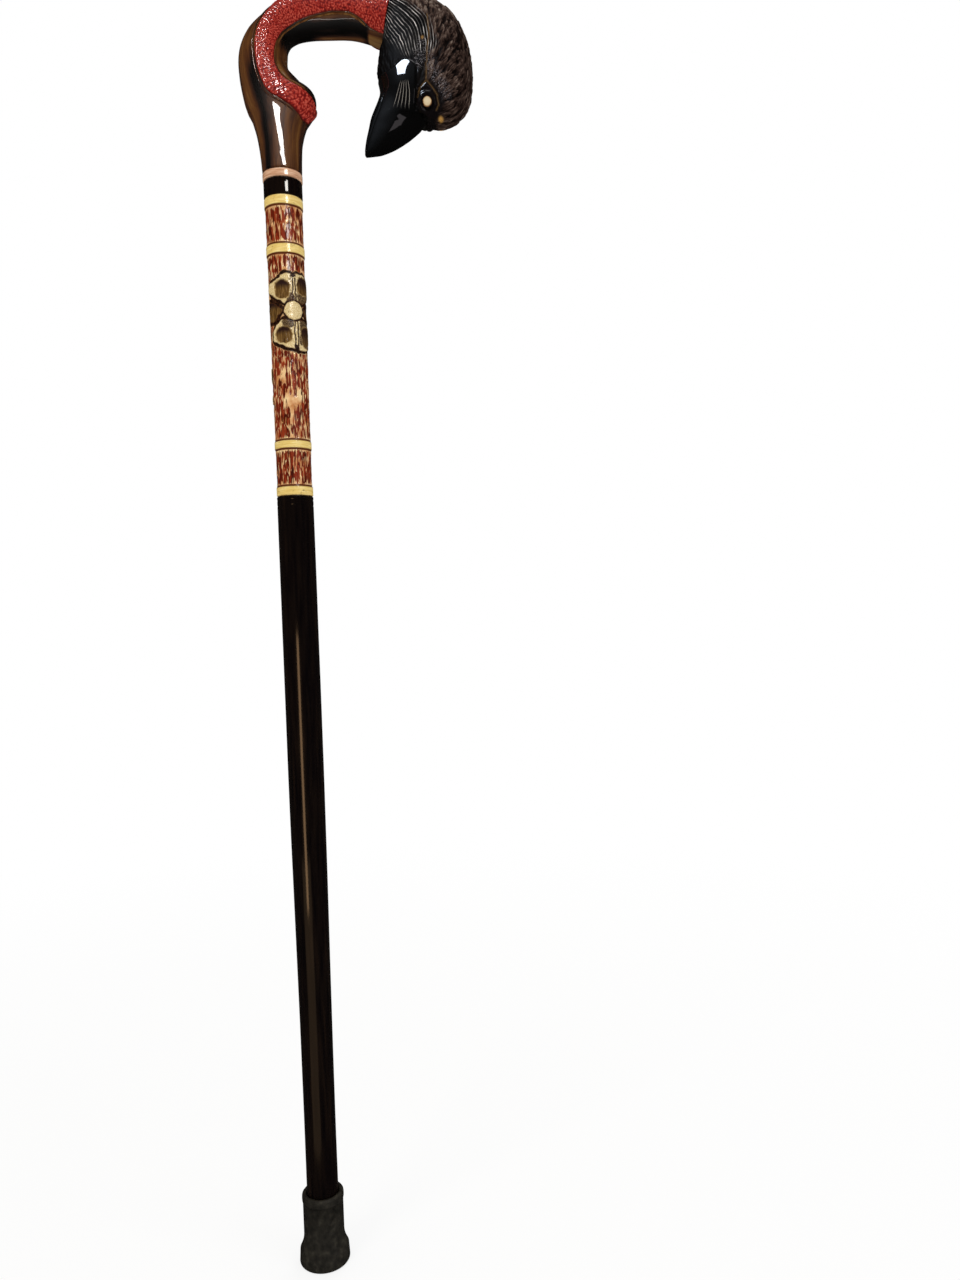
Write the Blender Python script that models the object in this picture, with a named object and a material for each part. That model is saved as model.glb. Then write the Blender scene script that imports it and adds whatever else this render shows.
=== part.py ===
# Carved walking cane: rubber ferrule, lacquered lower shaft, carved upper shaft, two collar rings and a
# crook handle with a raised red grip band that ends in a raven's head. Metres, +Z up along the shaft.
# The origin is the centre of the ferrule's flat foot and +X points at the raven's head.
import math

import bmesh
import bpy
from mathutils import Vector

MM = 0.001
SIDES = 32  # round pieces
ROD_SIDES = 20  # studs, dowel and their bores
EYE_SIDES = 16
CROOK_SIDES = 24
GAP = 0.3 * MM  # between pieces that touch
CUT_ROOM = 1.0 * MM  # how far a cutter starts outside the face it enters

# Ferrule
FOOT_FLARE = 3.5 * MM  # the foot stands this far outside the sleeve
FOOT_EDGE = 1.6 * MM  # rounding of the foot's lower edge
FOOT_HEIGHT = 10.0 * MM  # full-width part of the foot
FOOT_DRAFT = 0.5 * MM  # the foot narrows this much over that height
FLARE_HEIGHT = 11.0 * MM
FERRULE_WALL = 2.9 * MM
FERRULE_LIP = 0.5 * MM  # the lip stands this far outside the sleeve
LIP_HEIGHT = 6.0 * MM
LIP_EDGE = 1.2 * MM  # rounding of the lip's top
FERRULE_HEIGHT = 50.0 * MM
FERRULE_FLOOR = 8.0 * MM
WASHER_THICKNESS = 1.6 * MM
WASHER_HOLE = 2.6 * MM  # radius

# Lower shaft
SHAFT_FOOT_RADIUS = 11.1 * MM
SHAFT_TOP_RADIUS = 12.5 * MM
SHAFT_TAPER_LENGTH = 270.0 * MM
SHAFT_TAPER_START = 90.0 * MM  # above the shaft's lower end
TAPER_STEPS = 8
LOWER_SHAFT_LENGTH = 535.0 * MM
SHAFT_CHAMFER = 0.8 * MM  # at the foot
JOINT_CHAMFER = 0.4 * MM  # where the shaft's two pieces and the collar meet

# Carved upper shaft, measured up from its lower end
CREAM_RINGS = ((0.0, 6.6 * MM), (31.6 * MM, 37.9 * MM), (163.9 * MM, 171.1 * MM), (196.5 * MM, 203.5 * MM))
CREAM_RING_RELIEF = 0.5 * MM  # the carved fields are this much lower than the rings
CARVED_FLARE = 0.7 * MM  # the carved shaft's growth in radius from its lower to its upper end
FLOWER_FROM = 98.0 * MM
FLOWER_TO = 147.0 * MM
FLOWER_SLOPE = 3.0 * MM  # height of the slopes above and below the flower's panel
FLOWER_RELIEF = 0.4 * MM

# Collar rings between the carved shaft and the handle
BLACK_RING_HEIGHT = 11.5 * MM
PALE_RING_HEIGHT = 5.3 * MM
PALE_RING_STEP = 0.4 * MM  # the pale ring and the handle's neck are this much larger in radius
RING_EDGE = 0.5 * MM

# Hidden fasteners
STUD_RADIUS = 5.0 * MM
STUD_BITE = 32.0 * MM  # how far a stud runs into each wooden piece
DOWEL_RADIUS = 4.0 * MM
DOWEL_BITE = 15.0 * MM
ROD_CHAMFER = 0.6 * MM
BORE_END_ROOM = 1.0 * MM

# Crook handle: x and height above its base, then outer, inner and side half sizes, in mm
CROOK_STATIONS = (
    (0.1, 11.0, 14.5, 13.9, 14.0),
    (0.2, 22.0, 16.0, 14.8, 15.0),
    (0.5, 33.0, 18.8, 18.0, 16.0),
    (0.3, 40.0, 20.6, 24.2, 16.6),
    (-0.8, 46.5, 21.6, 26.0, 16.8),
    (-3.6, 55.0, 21.4, 20.4, 16.8),
    (-7.4, 68.0, 19.6, 15.0, 16.4),
    (-8.8, 81.5, 17.8, 15.6, 16.2),
    (-7.0, 91.5, 16.0, 16.0, 16.0),
    (-1.5, 100.5, 12.6, 15.8, 16.0),
    (8.5, 107.2, 12.0, 16.2, 16.0),
    (21.0, 110.0, 13.8, 16.6, 16.0),
    (36.0, 110.2, 16.2, 16.8, 16.0),
)
# The grip's end, with x measured from the joint with the raven's head
REACH_STATIONS = (
    (-26.5, 109.2, 16.8, 17.0, 16.4),
    (-13.5, 107.2, 18.0, 18.4, 17.4),
    (0.0, 103.6, 20.0, 20.0, 18.4),
)
CROOK_REACH = 78.5 * MM  # from the shaft's axis to the joint with the raven's head
CROOK_STEP = 3.0 * MM

# Red grip band: path length in mm, then its two edges as angles from the crook's outer side
BAND_EDGES = (
    (34.5, 150.0, 180.0),
    (37.0, 130.0, 180.0),
    (40.0, 112.0, 180.0),
    (42.5, 100.0, 165.0),
    (45.0, 92.0, 150.0),
    (48.0, 85.0, 136.0),
    (52.0, 80.0, 125.0),
    (59.0, 78.0, 118.0),
    (67.0, 77.0, 120.0),
    (78.0, 78.0, 126.0),
    (92.0, 78.0, 134.0),
    (103.0, 76.0, 137.0),
    (110.0, 56.0, 137.0),
    (114.0, 38.0, 136.0),
    (120.0, 0.0, 133.0),
    (134.0, 0.0, 125.0),
)
# The same near the raven's head, with the path length measured from the joint
BAND_COLLAR = (
    (-33.0, 0.0, 118.0),
    (-20.0, 0.0, 119.0),
    (-14.0, 0.0, 128.0),
    (-7.0, 0.0, 142.0),
)
BAND_END_ROOM = 1.5 * MM  # between the band and the head, whose throat leans back
BAND_THICKNESS = 1.4 * MM
BAND_GAP = 0.4 * MM  # a little more than GAP, as the sheets are faceted
BAND_COLUMNS = 8

# Raven's head, in mm from the centre of its joint: outer x and z, inner x and z, then half thickness
HEAD_STATIONS = (
    (19.5, 18.4, -9.0, -23.6, 19.6),
    (31.5, 12.9, -10.1, -27.6, 20.6),
    (43.5, 1.4, -10.9, -31.6, 21.2),
    (51.5, -13.6, -11.5, -35.6, 21.5),
    (55.3, -31.6, -11.4, -39.1, 21.5),
    (55.0, -50.6, -10.4, -43.1, 21.0),
    (51.0, -64.1, -9.5, -47.6, 19.5),
    (42.0, -72.6, -9.5, -51.6, 17.0),
    (31.5, -75.0, -11.1, -56.1, 14.5),
    (23.0, -71.8, -15.9, -66.6, 12.2),
    (17.0, -76.6, -18.2, -75.1, 10.4),
    (9.5, -82.1, -19.7, -80.6, 8.6),
    (0.5, -87.6, -20.7, -85.6, 6.4),
    (-8.5, -91.3, -21.2, -89.4, 4.2),
    (-15.5, -92.6, -21.1, -91.8, 2.2),
)
BILL_TIP = (-20.4, -93.0)
EYE_CENTRE = (23.6 * MM, -64.3 * MM)  # x and z from the head's joint
EYE_RADIUS = 4.0 * MM
EYE_SEAT = 10.5 * MM  # distance of the eyes' flat backs from the middle plane
EYE_FRONT = 16.4 * MM  # distance of the eyes' rims from the middle plane
EYE_DOME = 1.6 * MM
SOCKET_CUT_TO = 30.0 * MM  # from the middle plane, past the widest part of the head


def clear_scene():
    for obj in list(bpy.data.objects):
        bpy.data.objects.remove(obj, do_unlink=True)


def material(name, colour, roughness, metallic=0.0):
    made = bpy.data.materials.new(name)
    made.use_nodes = True
    shader = made.node_tree.nodes["Principled BSDF"]
    shader.inputs["Base Color"].default_value = (*colour, 1.0)
    shader.inputs["Roughness"].default_value = roughness
    shader.inputs["Metallic"].default_value = metallic
    made.diffuse_color = (*colour, 1.0)
    return made


def add_object(name, bm, made):
    bmesh.ops.recalc_face_normals(bm, faces=bm.faces)
    mesh = bpy.data.meshes.new(name)
    bm.to_mesh(mesh)
    bm.free()
    mesh.materials.append(made)
    mesh.shade_smooth()
    mesh.set_sharp_from_angle(angle=math.radians(40))
    obj = bpy.data.objects.new(name, mesh)
    bpy.context.collection.objects.link(obj)
    return obj


def turned(name, profile, made, sides=SIDES):
    """A closed profile of (radius, height) points spun round the Z axis."""
    bm = bmesh.new()
    verts = [bm.verts.new((radius, 0.0, height)) for radius, height in profile]
    edges = [bm.edges.new((verts[i], verts[(i + 1) % len(verts)])) for i in range(len(verts))]
    edges = [edge for edge in edges if any(vert.co.x > 1e-7 for vert in edge.verts)]
    bmesh.ops.spin(bm, geom=verts + edges, cent=(0, 0, 0), axis=(0, 0, 1), angle=math.tau, steps=sides)
    bmesh.ops.remove_doubles(bm, verts=bm.verts, dist=1e-6)
    loose = [edge for edge in bm.edges if not edge.link_faces]
    bmesh.ops.delete(bm, geom=loose, context="EDGES")
    return add_object(name, bm, made)


def lofted(name, sections, made, point=None):
    """A skin over rings of points, closed by flat ends or by a last point."""
    bm = bmesh.new()
    rings = [[bm.verts.new(place) for place in section] for section in sections]
    count = len(rings[0])
    for low, high in zip(rings, rings[1:]):
        for i in range(count):
            bm.faces.new((low[i], low[(i + 1) % count], high[(i + 1) % count], high[i]))
    bm.faces.new(rings[0])
    if point is None:
        bm.faces.new(rings[-1])
    else:
        tip = bm.verts.new(point)
        for i in range(count):
            bm.faces.new((rings[-1][i], rings[-1][(i + 1) % count], tip))
    return add_object(name, bm, made)


def rod(name, radius, start, end, made=None):
    """A round bar between two points, with a small chamfer on both ends when it is a piece."""
    start, end = Vector(start), Vector(end)
    length = (end - start).length
    if made is None:
        profile = ((0, 0), (radius, 0), (radius, length), (0, length))
    else:
        profile = (
            (0, 0),
            (radius - ROD_CHAMFER, 0),
            (radius, ROD_CHAMFER),
            (radius, length - ROD_CHAMFER),
            (radius - ROD_CHAMFER, length),
            (0, length),
        )
    obj = turned(name, profile, made or bpy.data.materials[0], ROD_SIDES)
    obj.rotation_mode = "QUATERNION"
    obj.rotation_quaternion = (end - start).to_track_quat("Z", "Y")
    obj.location = start
    return obj


def cut(obj, cutter):
    cutter.hide_render = True
    cutter.display_type = "WIRE"
    boolean = obj.modifiers.new("bore", "BOOLEAN")
    boolean.operation = "DIFFERENCE"
    boolean.solver = "EXACT"
    boolean.object = cutter


def blend(table, place):
    """Values between the rows of a table whose first column rises, by straight lines."""
    for low, high in zip(table, table[1:]):
        if place <= high[0]:
            share = max(0.0, (place - low[0]) / (high[0] - low[0]))
            return [a + (b - a) * share for a, b in zip(low[1:], high[1:])]
    return list(table[-1][1:])


class Crook:
    """The crook's centre line and oval sections, smoothed through the stations."""

    def __init__(self, base):
        neck = pale_ring_radius()
        self.rows = [[0.0, 0.0, neck, neck, neck]]
        self.rows += [[value * MM for value in row] for row in CROOK_STATIONS]
        for row in REACH_STATIONS:
            self.rows.append([CROOK_REACH + row[0] * MM] + [value * MM for value in row[1:]])
        self.base = base
        self.marks = [0.0]
        for low, high in zip(self.rows, self.rows[1:]):
            self.marks.append(self.marks[-1] + math.dist(low[:2], high[:2]))
        self.length = self.marks[-1]
        self.slopes = [self.slope(i) for i in range(len(self.rows))]

    def slope(self, i):
        low, high = max(i - 1, 0), min(i + 1, len(self.rows) - 1)
        span = self.marks[high] - self.marks[low]
        return [(b - a) / span for a, b in zip(self.rows[low], self.rows[high])]

    def values(self, place):
        place = min(max(place, 0.0), self.length)
        i = max(j for j in range(len(self.marks) - 1) if self.marks[j] <= place)
        span = self.marks[i + 1] - self.marks[i]
        k = (place - self.marks[i]) / span
        weights = (2 * k**3 - 3 * k**2 + 1, k**3 - 2 * k**2 + k, 3 * k**2 - 2 * k**3, k**3 - k**2)
        rows = (self.rows[i], self.slopes[i], self.rows[i + 1], self.slopes[i + 1])
        scale = (1.0, span, 1.0, span)
        return [sum(w * s * row[n] for w, s, row in zip(weights, scale, rows)) for n in range(5)]

    def direction(self, place):
        before = self.values(place - 0.1 * MM)
        after = self.values(place + 0.1 * MM)
        along = Vector((after[0] - before[0], 0.0, after[1] - before[1]))
        return along.normalized()

    def centre(self, place):
        x, z = self.values(place)[:2]
        return Vector((x, 0.0, self.base + z))

    def outward(self, place):
        along = self.direction(place)
        if place == 0.0:
            along = Vector((0.0, 0.0, 1.0))
        return Vector((-along.z, 0.0, along.x))

    def point(self, place, angle, lift=0.0):
        """A point of the surface, with angle 0 on the outer side and pi on the inner side."""
        outer, inner, side = self.values(place)[2:]
        reach = outer if math.cos(angle) > 0 else inner
        across = self.outward(place) * (reach + lift) * math.cos(angle)
        return self.centre(place) + across + Vector((0.0, -(side + lift) * math.sin(angle), 0.0))

    def places(self, start=0.0):
        """Path lengths of the sections, from the first one at or past the start."""
        steps = round(self.length / CROOK_STEP)
        marks = [self.length * i / steps for i in range(steps + 1)]
        return [mark for mark in marks if mark >= start]


def make_ferrule(made):
    bore = SHAFT_FOOT_RADIUS + GAP
    sleeve = bore + FERRULE_WALL
    foot = sleeve + FOOT_FLARE
    top = FERRULE_HEIGHT
    profile = [(0.0, 0.0)]
    for i in range(4):
        turn = math.pi / 2 * i / 3
        profile.append((foot - FOOT_EDGE * (1 - math.sin(turn)), FOOT_EDGE * (1 - math.cos(turn))))
    for i in range(4):
        share = i / 3
        radius = sleeve + (FOOT_FLARE - FOOT_DRAFT) * (1 - share) ** 2
        profile.append((radius, FOOT_HEIGHT + FLARE_HEIGHT * share))
    profile += [
        (sleeve, top - LIP_HEIGHT),
        (sleeve + FERRULE_LIP, top - LIP_HEIGHT + LIP_EDGE),
        (sleeve + FERRULE_LIP, top - 1.5 * LIP_EDGE),
        (sleeve + FERRULE_LIP - LIP_EDGE, top - 0.3 * LIP_EDGE),
        (bore + LIP_EDGE, top),
        (bore, top - LIP_EDGE),
        (bore, FERRULE_FLOOR),
        (0.0, FERRULE_FLOOR),
    ]
    turned("ferrule", profile, made)


def make_washer(made):
    low = FERRULE_FLOOR + GAP
    high = low + WASHER_THICKNESS
    radius = SHAFT_FOOT_RADIUS - GAP
    profile = ((WASHER_HOLE, low), (radius, low), (radius, high), (WASHER_HOLE, high))
    turned("ferrule_washer", profile, made)


def shaft_foot():
    return FERRULE_FLOOR + GAP + WASHER_THICKNESS + GAP


def pale_ring_radius():
    return SHAFT_TOP_RADIUS + CARVED_FLARE + PALE_RING_STEP


def make_lower_shaft(made):
    low = shaft_foot()
    high = low + LOWER_SHAFT_LENGTH
    foot = SHAFT_FOOT_RADIUS
    profile = [(0.0, low), (foot - SHAFT_CHAMFER, low), (foot, low + SHAFT_CHAMFER)]
    for i in range(TAPER_STEPS + 1):
        share = i / TAPER_STEPS
        eased = share * share * (3 - 2 * share)
        radius = foot + (SHAFT_TOP_RADIUS - foot) * eased
        profile.append((radius, low + SHAFT_TAPER_START + SHAFT_TAPER_LENGTH * share))
    profile.append((SHAFT_TOP_RADIUS, high - JOINT_CHAMFER))
    profile.append((SHAFT_TOP_RADIUS - JOINT_CHAMFER, high))
    profile.append((0.0, high))
    obj = turned("lower_shaft", profile, made)
    deep = high - STUD_BITE - BORE_END_ROOM
    cut(obj, rod("lower_shaft_bore", STUD_RADIUS + GAP, (0, 0, deep), (0, 0, high + CUT_ROOM)))
    return high


def make_upper_shaft(low, made):
    """The carved section: cream rings, lower fields between them and a raised flower panel."""
    length = CREAM_RINGS[-1][1]
    high = low + length

    def radius(height):
        return SHAFT_TOP_RADIUS + CARVED_FLARE * height / length

    edge = JOINT_CHAMFER
    profile = [(0.0, low)]
    for start, end in CREAM_RINGS:
        if start > 0.0:
            profile.append((radius(start) - CREAM_RING_RELIEF, low + start))
        profile.append((radius(start) - (edge if start == 0.0 else 0.0), low + start))
        profile.append((radius(start), low + start + edge))
        profile.append((radius(end), low + end - edge))
        profile.append((radius(end) - (edge if end == length else 0.0), low + end))
        if end < length:
            profile.append((radius(end) - CREAM_RING_RELIEF, low + end))
        if end == CREAM_RINGS[1][1]:
            flat = FLOWER_RELIEF - CREAM_RING_RELIEF
            profile.append((radius(FLOWER_FROM) - CREAM_RING_RELIEF, low + FLOWER_FROM - FLOWER_SLOPE))
            profile.append((radius(FLOWER_FROM) + flat, low + FLOWER_FROM))
            profile.append((radius(FLOWER_TO) + flat, low + FLOWER_TO))
            profile.append((radius(FLOWER_TO) - CREAM_RING_RELIEF, low + FLOWER_TO + FLOWER_SLOPE))
    profile.append((0.0, high))
    obj = turned("upper_shaft_carved", profile, made)
    bore = STUD_RADIUS + GAP
    deep = STUD_BITE + BORE_END_ROOM
    cut(obj, rod("upper_shaft_low_bore", bore, (0, 0, low - CUT_ROOM), (0, 0, low + deep)))
    cut(obj, rod("upper_shaft_high_bore", bore, (0, 0, high - deep), (0, 0, high + CUT_ROOM)))
    return high


def make_ring(name, low, height, radius, made):
    high = low + height
    bore = STUD_RADIUS + GAP
    profile = (
        (bore, low),
        (radius - RING_EDGE, low),
        (radius, low + RING_EDGE),
        (radius, high - RING_EDGE),
        (radius - RING_EDGE, high),
        (bore, high),
    )
    turned(name, profile, made)
    return high


def make_crook(crook, made):
    turns = [math.tau * i / CROOK_SIDES for i in range(CROOK_SIDES)]
    sections = [[crook.point(place, turn) for turn in turns] for place in crook.places()]
    obj = lofted("handle_crook", sections, made)
    base = crook.base
    deep = base + STUD_BITE + BORE_END_ROOM
    cut(obj, rod("crook_stud_bore", STUD_RADIUS + GAP, (0, 0, base - CUT_ROOM), (0, 0, deep)))
    end = crook.centre(crook.length)
    along = crook.direction(crook.length)
    deep = end - along * (DOWEL_BITE + BORE_END_ROOM)
    cut(obj, rod("crook_dowel_bore", DOWEL_RADIUS + GAP, deep, end + along * CUT_ROOM))


def make_band(crook, made):
    """A raised strip down both sides of the crook that closes over the grip and under the finger rest."""
    places = crook.places(BAND_EDGES[0][0] * MM)
    edges = list(BAND_EDGES)
    for row in BAND_COLLAR:
        edges.append((crook.length / MM + row[0], *row[1:]))
    lifted = {}

    def key(spot):
        return tuple(round(value, 7) for value in spot)

    bm = bmesh.new()
    verts = {}

    def vert(place, angle):
        low = crook.point(place, angle, BAND_GAP)
        if key(low) not in verts:
            verts[key(low)] = bm.verts.new(low)
            lifted[key(verts[key(low)].co)] = crook.point(place, angle, BAND_GAP + BAND_THICKNESS)
        return verts[key(low)]

    def angle(place, column, side):
        first, last = blend(edges, place / MM)
        return side * math.radians(first + (last - first) * column / BAND_COLUMNS)

    for low, high in zip(places, places[1:]):
        for side in (1, -1):
            for column in range(BAND_COLUMNS):
                corners = [
                    vert(low, angle(low, column, side)),
                    vert(low, angle(low, column + 1, side)),
                    vert(high, angle(high, column + 1, side)),
                    vert(high, angle(high, column, side)),
                ]
                bm.faces.new(corners)
    bmesh.ops.recalc_face_normals(bm, faces=bm.faces)
    grown = bmesh.ops.extrude_face_region(bm, geom=list(bm.faces))
    for item in grown["geom"]:
        if isinstance(item, bmesh.types.BMVert):
            item.co = lifted[key(item.co)]
    along = crook.direction(crook.length)
    end = crook.centre(crook.length) - along * BAND_END_ROOM
    whole = list(bm.verts) + list(bm.edges) + list(bm.faces)
    sliced = bmesh.ops.bisect_plane(bm, geom=whole, plane_co=end, plane_no=along, clear_outer=True)
    rim = [item for item in sliced["geom_cut"] if isinstance(item, bmesh.types.BMEdge)]
    bmesh.ops.holes_fill(bm, edges=rim)
    add_object("grip_band", bm, made)


def make_head(crook, made):
    """The raven's head: oval sections between its outer and inner outlines, ending at the beak's tip."""
    along = crook.direction(crook.length)
    joint = crook.centre(crook.length) + along * GAP
    outer, inner, side = crook.values(crook.length)[2:]
    up = crook.outward(crook.length)
    rows = [(joint + up * outer, joint - up * inner, side)]
    for x_out, z_out, x_in, z_in, half in HEAD_STATIONS:
        far = joint + Vector((x_out, 0, z_out)) * MM
        near = joint + Vector((x_in, 0, z_in)) * MM
        rows.append((far, near, half * MM))
    sections = []
    for far, near, half in rows:
        middle, reach = (far + near) / 2, (far - near) / 2
        ring = []
        for i in range(CROOK_SIDES):
            turn = math.tau * i / CROOK_SIDES
            ring.append(middle + reach * math.cos(turn) + Vector((0.0, -half * math.sin(turn), 0.0)))
        sections.append(ring)
    tip = joint + Vector((BILL_TIP[0], 0, BILL_TIP[1])) * MM
    obj = lofted("raven_head", sections, made, tip)
    deep = joint + along * (DOWEL_BITE + BORE_END_ROOM)
    cut(obj, rod("head_dowel_bore", DOWEL_RADIUS + GAP, joint - along * CUT_ROOM, deep))
    socket = EYE_RADIUS + GAP
    x, z = joint.x + EYE_CENTRE[0], joint.z + EYE_CENTRE[1]
    for side, name in ((-1, "left_eye_socket"), (1, "right_eye_socket")):
        cut(obj, rod(name, socket, (x, side * (EYE_SEAT - GAP), z), (x, side * SOCKET_CUT_TO, z)))
    return joint


def make_eyes(joint, made):
    """A bead in each socket: a straight rim with a low dome."""
    x, z = joint.x + EYE_CENTRE[0], joint.z + EYE_CENTRE[1]
    depth = EYE_FRONT - EYE_SEAT
    profile = [(0.0, 0.0), (EYE_RADIUS, 0.0), (EYE_RADIUS, depth)]
    for i in range(1, 4):
        turn = math.pi / 2 * i / 4
        profile.append((EYE_RADIUS * math.cos(turn), depth + EYE_DOME * math.sin(turn)))
    profile.append((0.0, depth + EYE_DOME))
    for side, name in ((-1, "raven_eye_left"), (1, "raven_eye_right")):
        bead = turned(name, profile, made, EYE_SIDES)
        bead.rotation_euler = (-side * math.pi / 2, 0.0, 0.0)
        bead.location = (x, side * EYE_SEAT, z)


def build():
    clear_scene()
    rubber = material("black_rubber", (0.018, 0.018, 0.019), 0.62)
    steel = material("zinc_plated_steel", (0.62, 0.62, 0.60), 0.35, 1.0)
    black = material("black_lacquer", (0.012, 0.010, 0.009), 0.12)
    carved = material("burnt_carved_wood", (0.40, 0.14, 0.06), 0.38)
    pale = material("pale_ring_wood", (0.72, 0.47, 0.28), 0.22)
    ebony = material("black_ring_lacquer", (0.010, 0.009, 0.009), 0.10)
    brown = material("brown_lacquered_wood", (0.115, 0.048, 0.016), 0.12)
    red = material("red_stippled_grip", (0.36, 0.035, 0.020), 0.28)
    feather = material("black_brown_carved_wood", (0.028, 0.019, 0.014), 0.32)
    beech = material("beech_dowel", (0.55, 0.36, 0.19), 0.55)
    amber = material("cream_eye_bead", (0.72, 0.55, 0.33), 0.08)

    make_ferrule(rubber)
    make_washer(steel)
    lower_top = make_lower_shaft(black)
    upper_low = lower_top + GAP
    upper_top = make_upper_shaft(upper_low, carved)
    rod("shaft_stud", STUD_RADIUS, (0, 0, lower_top - STUD_BITE), (0, 0, upper_low + STUD_BITE), steel)
    black_radius = SHAFT_TOP_RADIUS + CARVED_FLARE
    black_top = make_ring("collar_ring_black", upper_top + GAP, BLACK_RING_HEIGHT, black_radius, ebony)
    pale_top = make_ring("collar_ring_pale", black_top + GAP, PALE_RING_HEIGHT, pale_ring_radius(), pale)
    crook = Crook(pale_top + GAP)
    rod("handle_stud", STUD_RADIUS, (0, 0, upper_top - STUD_BITE), (0, 0, crook.base + STUD_BITE), steel)
    make_crook(crook, brown)
    make_band(crook, red)
    joint = make_head(crook, feather)
    along = crook.direction(crook.length)
    end = crook.centre(crook.length)
    rod("head_dowel", DOWEL_RADIUS, end - along * DOWEL_BITE, joint + along * DOWEL_BITE, beech)
    make_eyes(joint, amber)


build()
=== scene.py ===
# Carved walking cane: a raven's head on a crook with a red grip band, a carved and burnt upper shaft,
# a black lacquered lower shaft and a rubber ferrule. Metres, +Z up the shaft, +X towards the raven's head.
# Sizes in the settings are in millimetres, apart from the camera's and the studio's, which are in metres.
# Angles are in degrees.
import math

import bpy
import numpy as np
from mathutils import Matrix, Vector
from mathutils.kdtree import KDTree


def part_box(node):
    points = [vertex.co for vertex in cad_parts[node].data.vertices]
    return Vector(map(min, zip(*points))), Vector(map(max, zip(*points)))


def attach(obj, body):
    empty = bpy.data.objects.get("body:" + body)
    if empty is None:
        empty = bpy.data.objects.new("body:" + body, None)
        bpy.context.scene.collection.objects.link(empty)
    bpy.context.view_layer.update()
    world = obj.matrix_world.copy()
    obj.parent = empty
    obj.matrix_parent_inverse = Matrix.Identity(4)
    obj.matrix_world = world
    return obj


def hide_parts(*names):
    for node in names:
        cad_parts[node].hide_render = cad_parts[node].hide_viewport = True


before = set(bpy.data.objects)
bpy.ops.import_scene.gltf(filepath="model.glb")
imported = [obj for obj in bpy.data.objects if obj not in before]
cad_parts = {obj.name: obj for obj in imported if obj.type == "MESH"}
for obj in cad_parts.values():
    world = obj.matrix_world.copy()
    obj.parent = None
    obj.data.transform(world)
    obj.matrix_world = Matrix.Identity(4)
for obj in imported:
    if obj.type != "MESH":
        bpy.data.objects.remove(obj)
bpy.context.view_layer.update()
mm = 0.001
scene = bpy.context.scene
print("frame loaded")


# Tools for materials

def hexColour(text):  # sRGB hex to the linear colour that a shader takes
    parts = [int(text[i:i + 2], 16) / 255 for i in (1, 3, 5)]
    linear = [c / 12.92 if c <= 0.04045 else ((c + 0.055) / 1.055) ** 2.4 for c in parts]
    return (*linear, 1.0)


def fillNode(node, values):  # names in small letters are settings, the other names and numbers are inputs
    links = node.id_data.links
    for name, value in values.items():
        if name == "stops":  # a ramp's colours, as (place, hex)
            while len(node.color_ramp.elements) < len(value):
                node.color_ramp.elements.new(0.5)
            for element, (place, colour) in zip(node.color_ramp.elements, value):
                element.position = place
                element.color = hexColour(colour)
        elif str(name).islower():
            setattr(node, name, value)
        elif isinstance(value, bpy.types.Node):  # a node stands for its first output
            links.new(value.outputs[0], node.inputs[name])
        elif isinstance(value, bpy.types.NodeSocket):
            links.new(value, node.inputs[name])
        else:
            node.inputs[name].default_value = hexColour(value) if isinstance(value, str) else value


def addNode(tree, kind, values=None):
    node = tree.nodes.new("ShaderNode" + kind)
    fillNode(node, values or {})
    return node


def newMaterial(name, values):
    made = bpy.data.materials.new(name)
    made.use_nodes = True
    shader = made.node_tree.nodes["Principled BSDF"]
    fillNode(shader, values)
    return made, made.node_tree, shader


# Tools for meshes

def softNoise(x, y, z=0.0, seed=1, wrap=32):  # smooth random values from -1 to 1, one cell per unit
    cells = np.random.default_rng(seed).random((32, 32, 32))
    places = np.broadcast_arrays(np.asarray(x, float), y, z)
    low = [np.floor(place).astype(int) for place in places]
    share = [place - corner for place, corner in zip(places, low)]
    share = [part * part * (3 - 2 * part) for part in share]
    total = np.zeros(places[0].shape)
    for i, j, k in np.ndindex(2, 2, 2):
        weight = (share[0] if i else 1 - share[0]) * (share[1] if j else 1 - share[1])
        weight = weight * (share[2] if k else 1 - share[2])
        total += weight * cells[(low[0] + i) % wrap, (low[1] + j) % 32, (low[2] + k) % 32]
    return total * 2 - 1


def pebbles(x, y, seed, wrap):  # distance to the nearest of scattered dots, one to a unit cell
    dots = np.random.default_rng(seed).random((96, 64, 2)) * 0.8 + 0.1
    left = np.floor(x).astype(int)
    low = np.floor(y).astype(int)
    best = np.full(x.shape, 9.0)
    for i, j in np.ndindex(3, 3):
        dot = dots[(left + i - 1) % wrap, (low + j - 1) % 64]
        best = np.minimum(best, np.hypot(left + i - 1 + dot[..., 0] - x, low + j - 1 + dot[..., 1] - y))
    return best


def smoothStep(low, high, value):
    share = np.clip((value - low) / (high - low), 0, 1)
    return share * share * (3 - 2 * share)


def circle(sides):  # angles all the way round, in radians
    return np.linspace(0, 2 * np.pi, sides, endpoint=False)


def wrapped(value, girth):  # the same place, within half a girth of zero
    return (value + girth / 2) % girth - girth / 2


def folded(angles):  # degrees away from the outer side, alike on both sides
    return np.abs(wrapped(angles, 360))


def marksOf(points):  # path length at each point
    return np.concatenate([[0.0], np.cumsum(np.linalg.norm(np.diff(points, axis=0), axis=1))])


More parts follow.
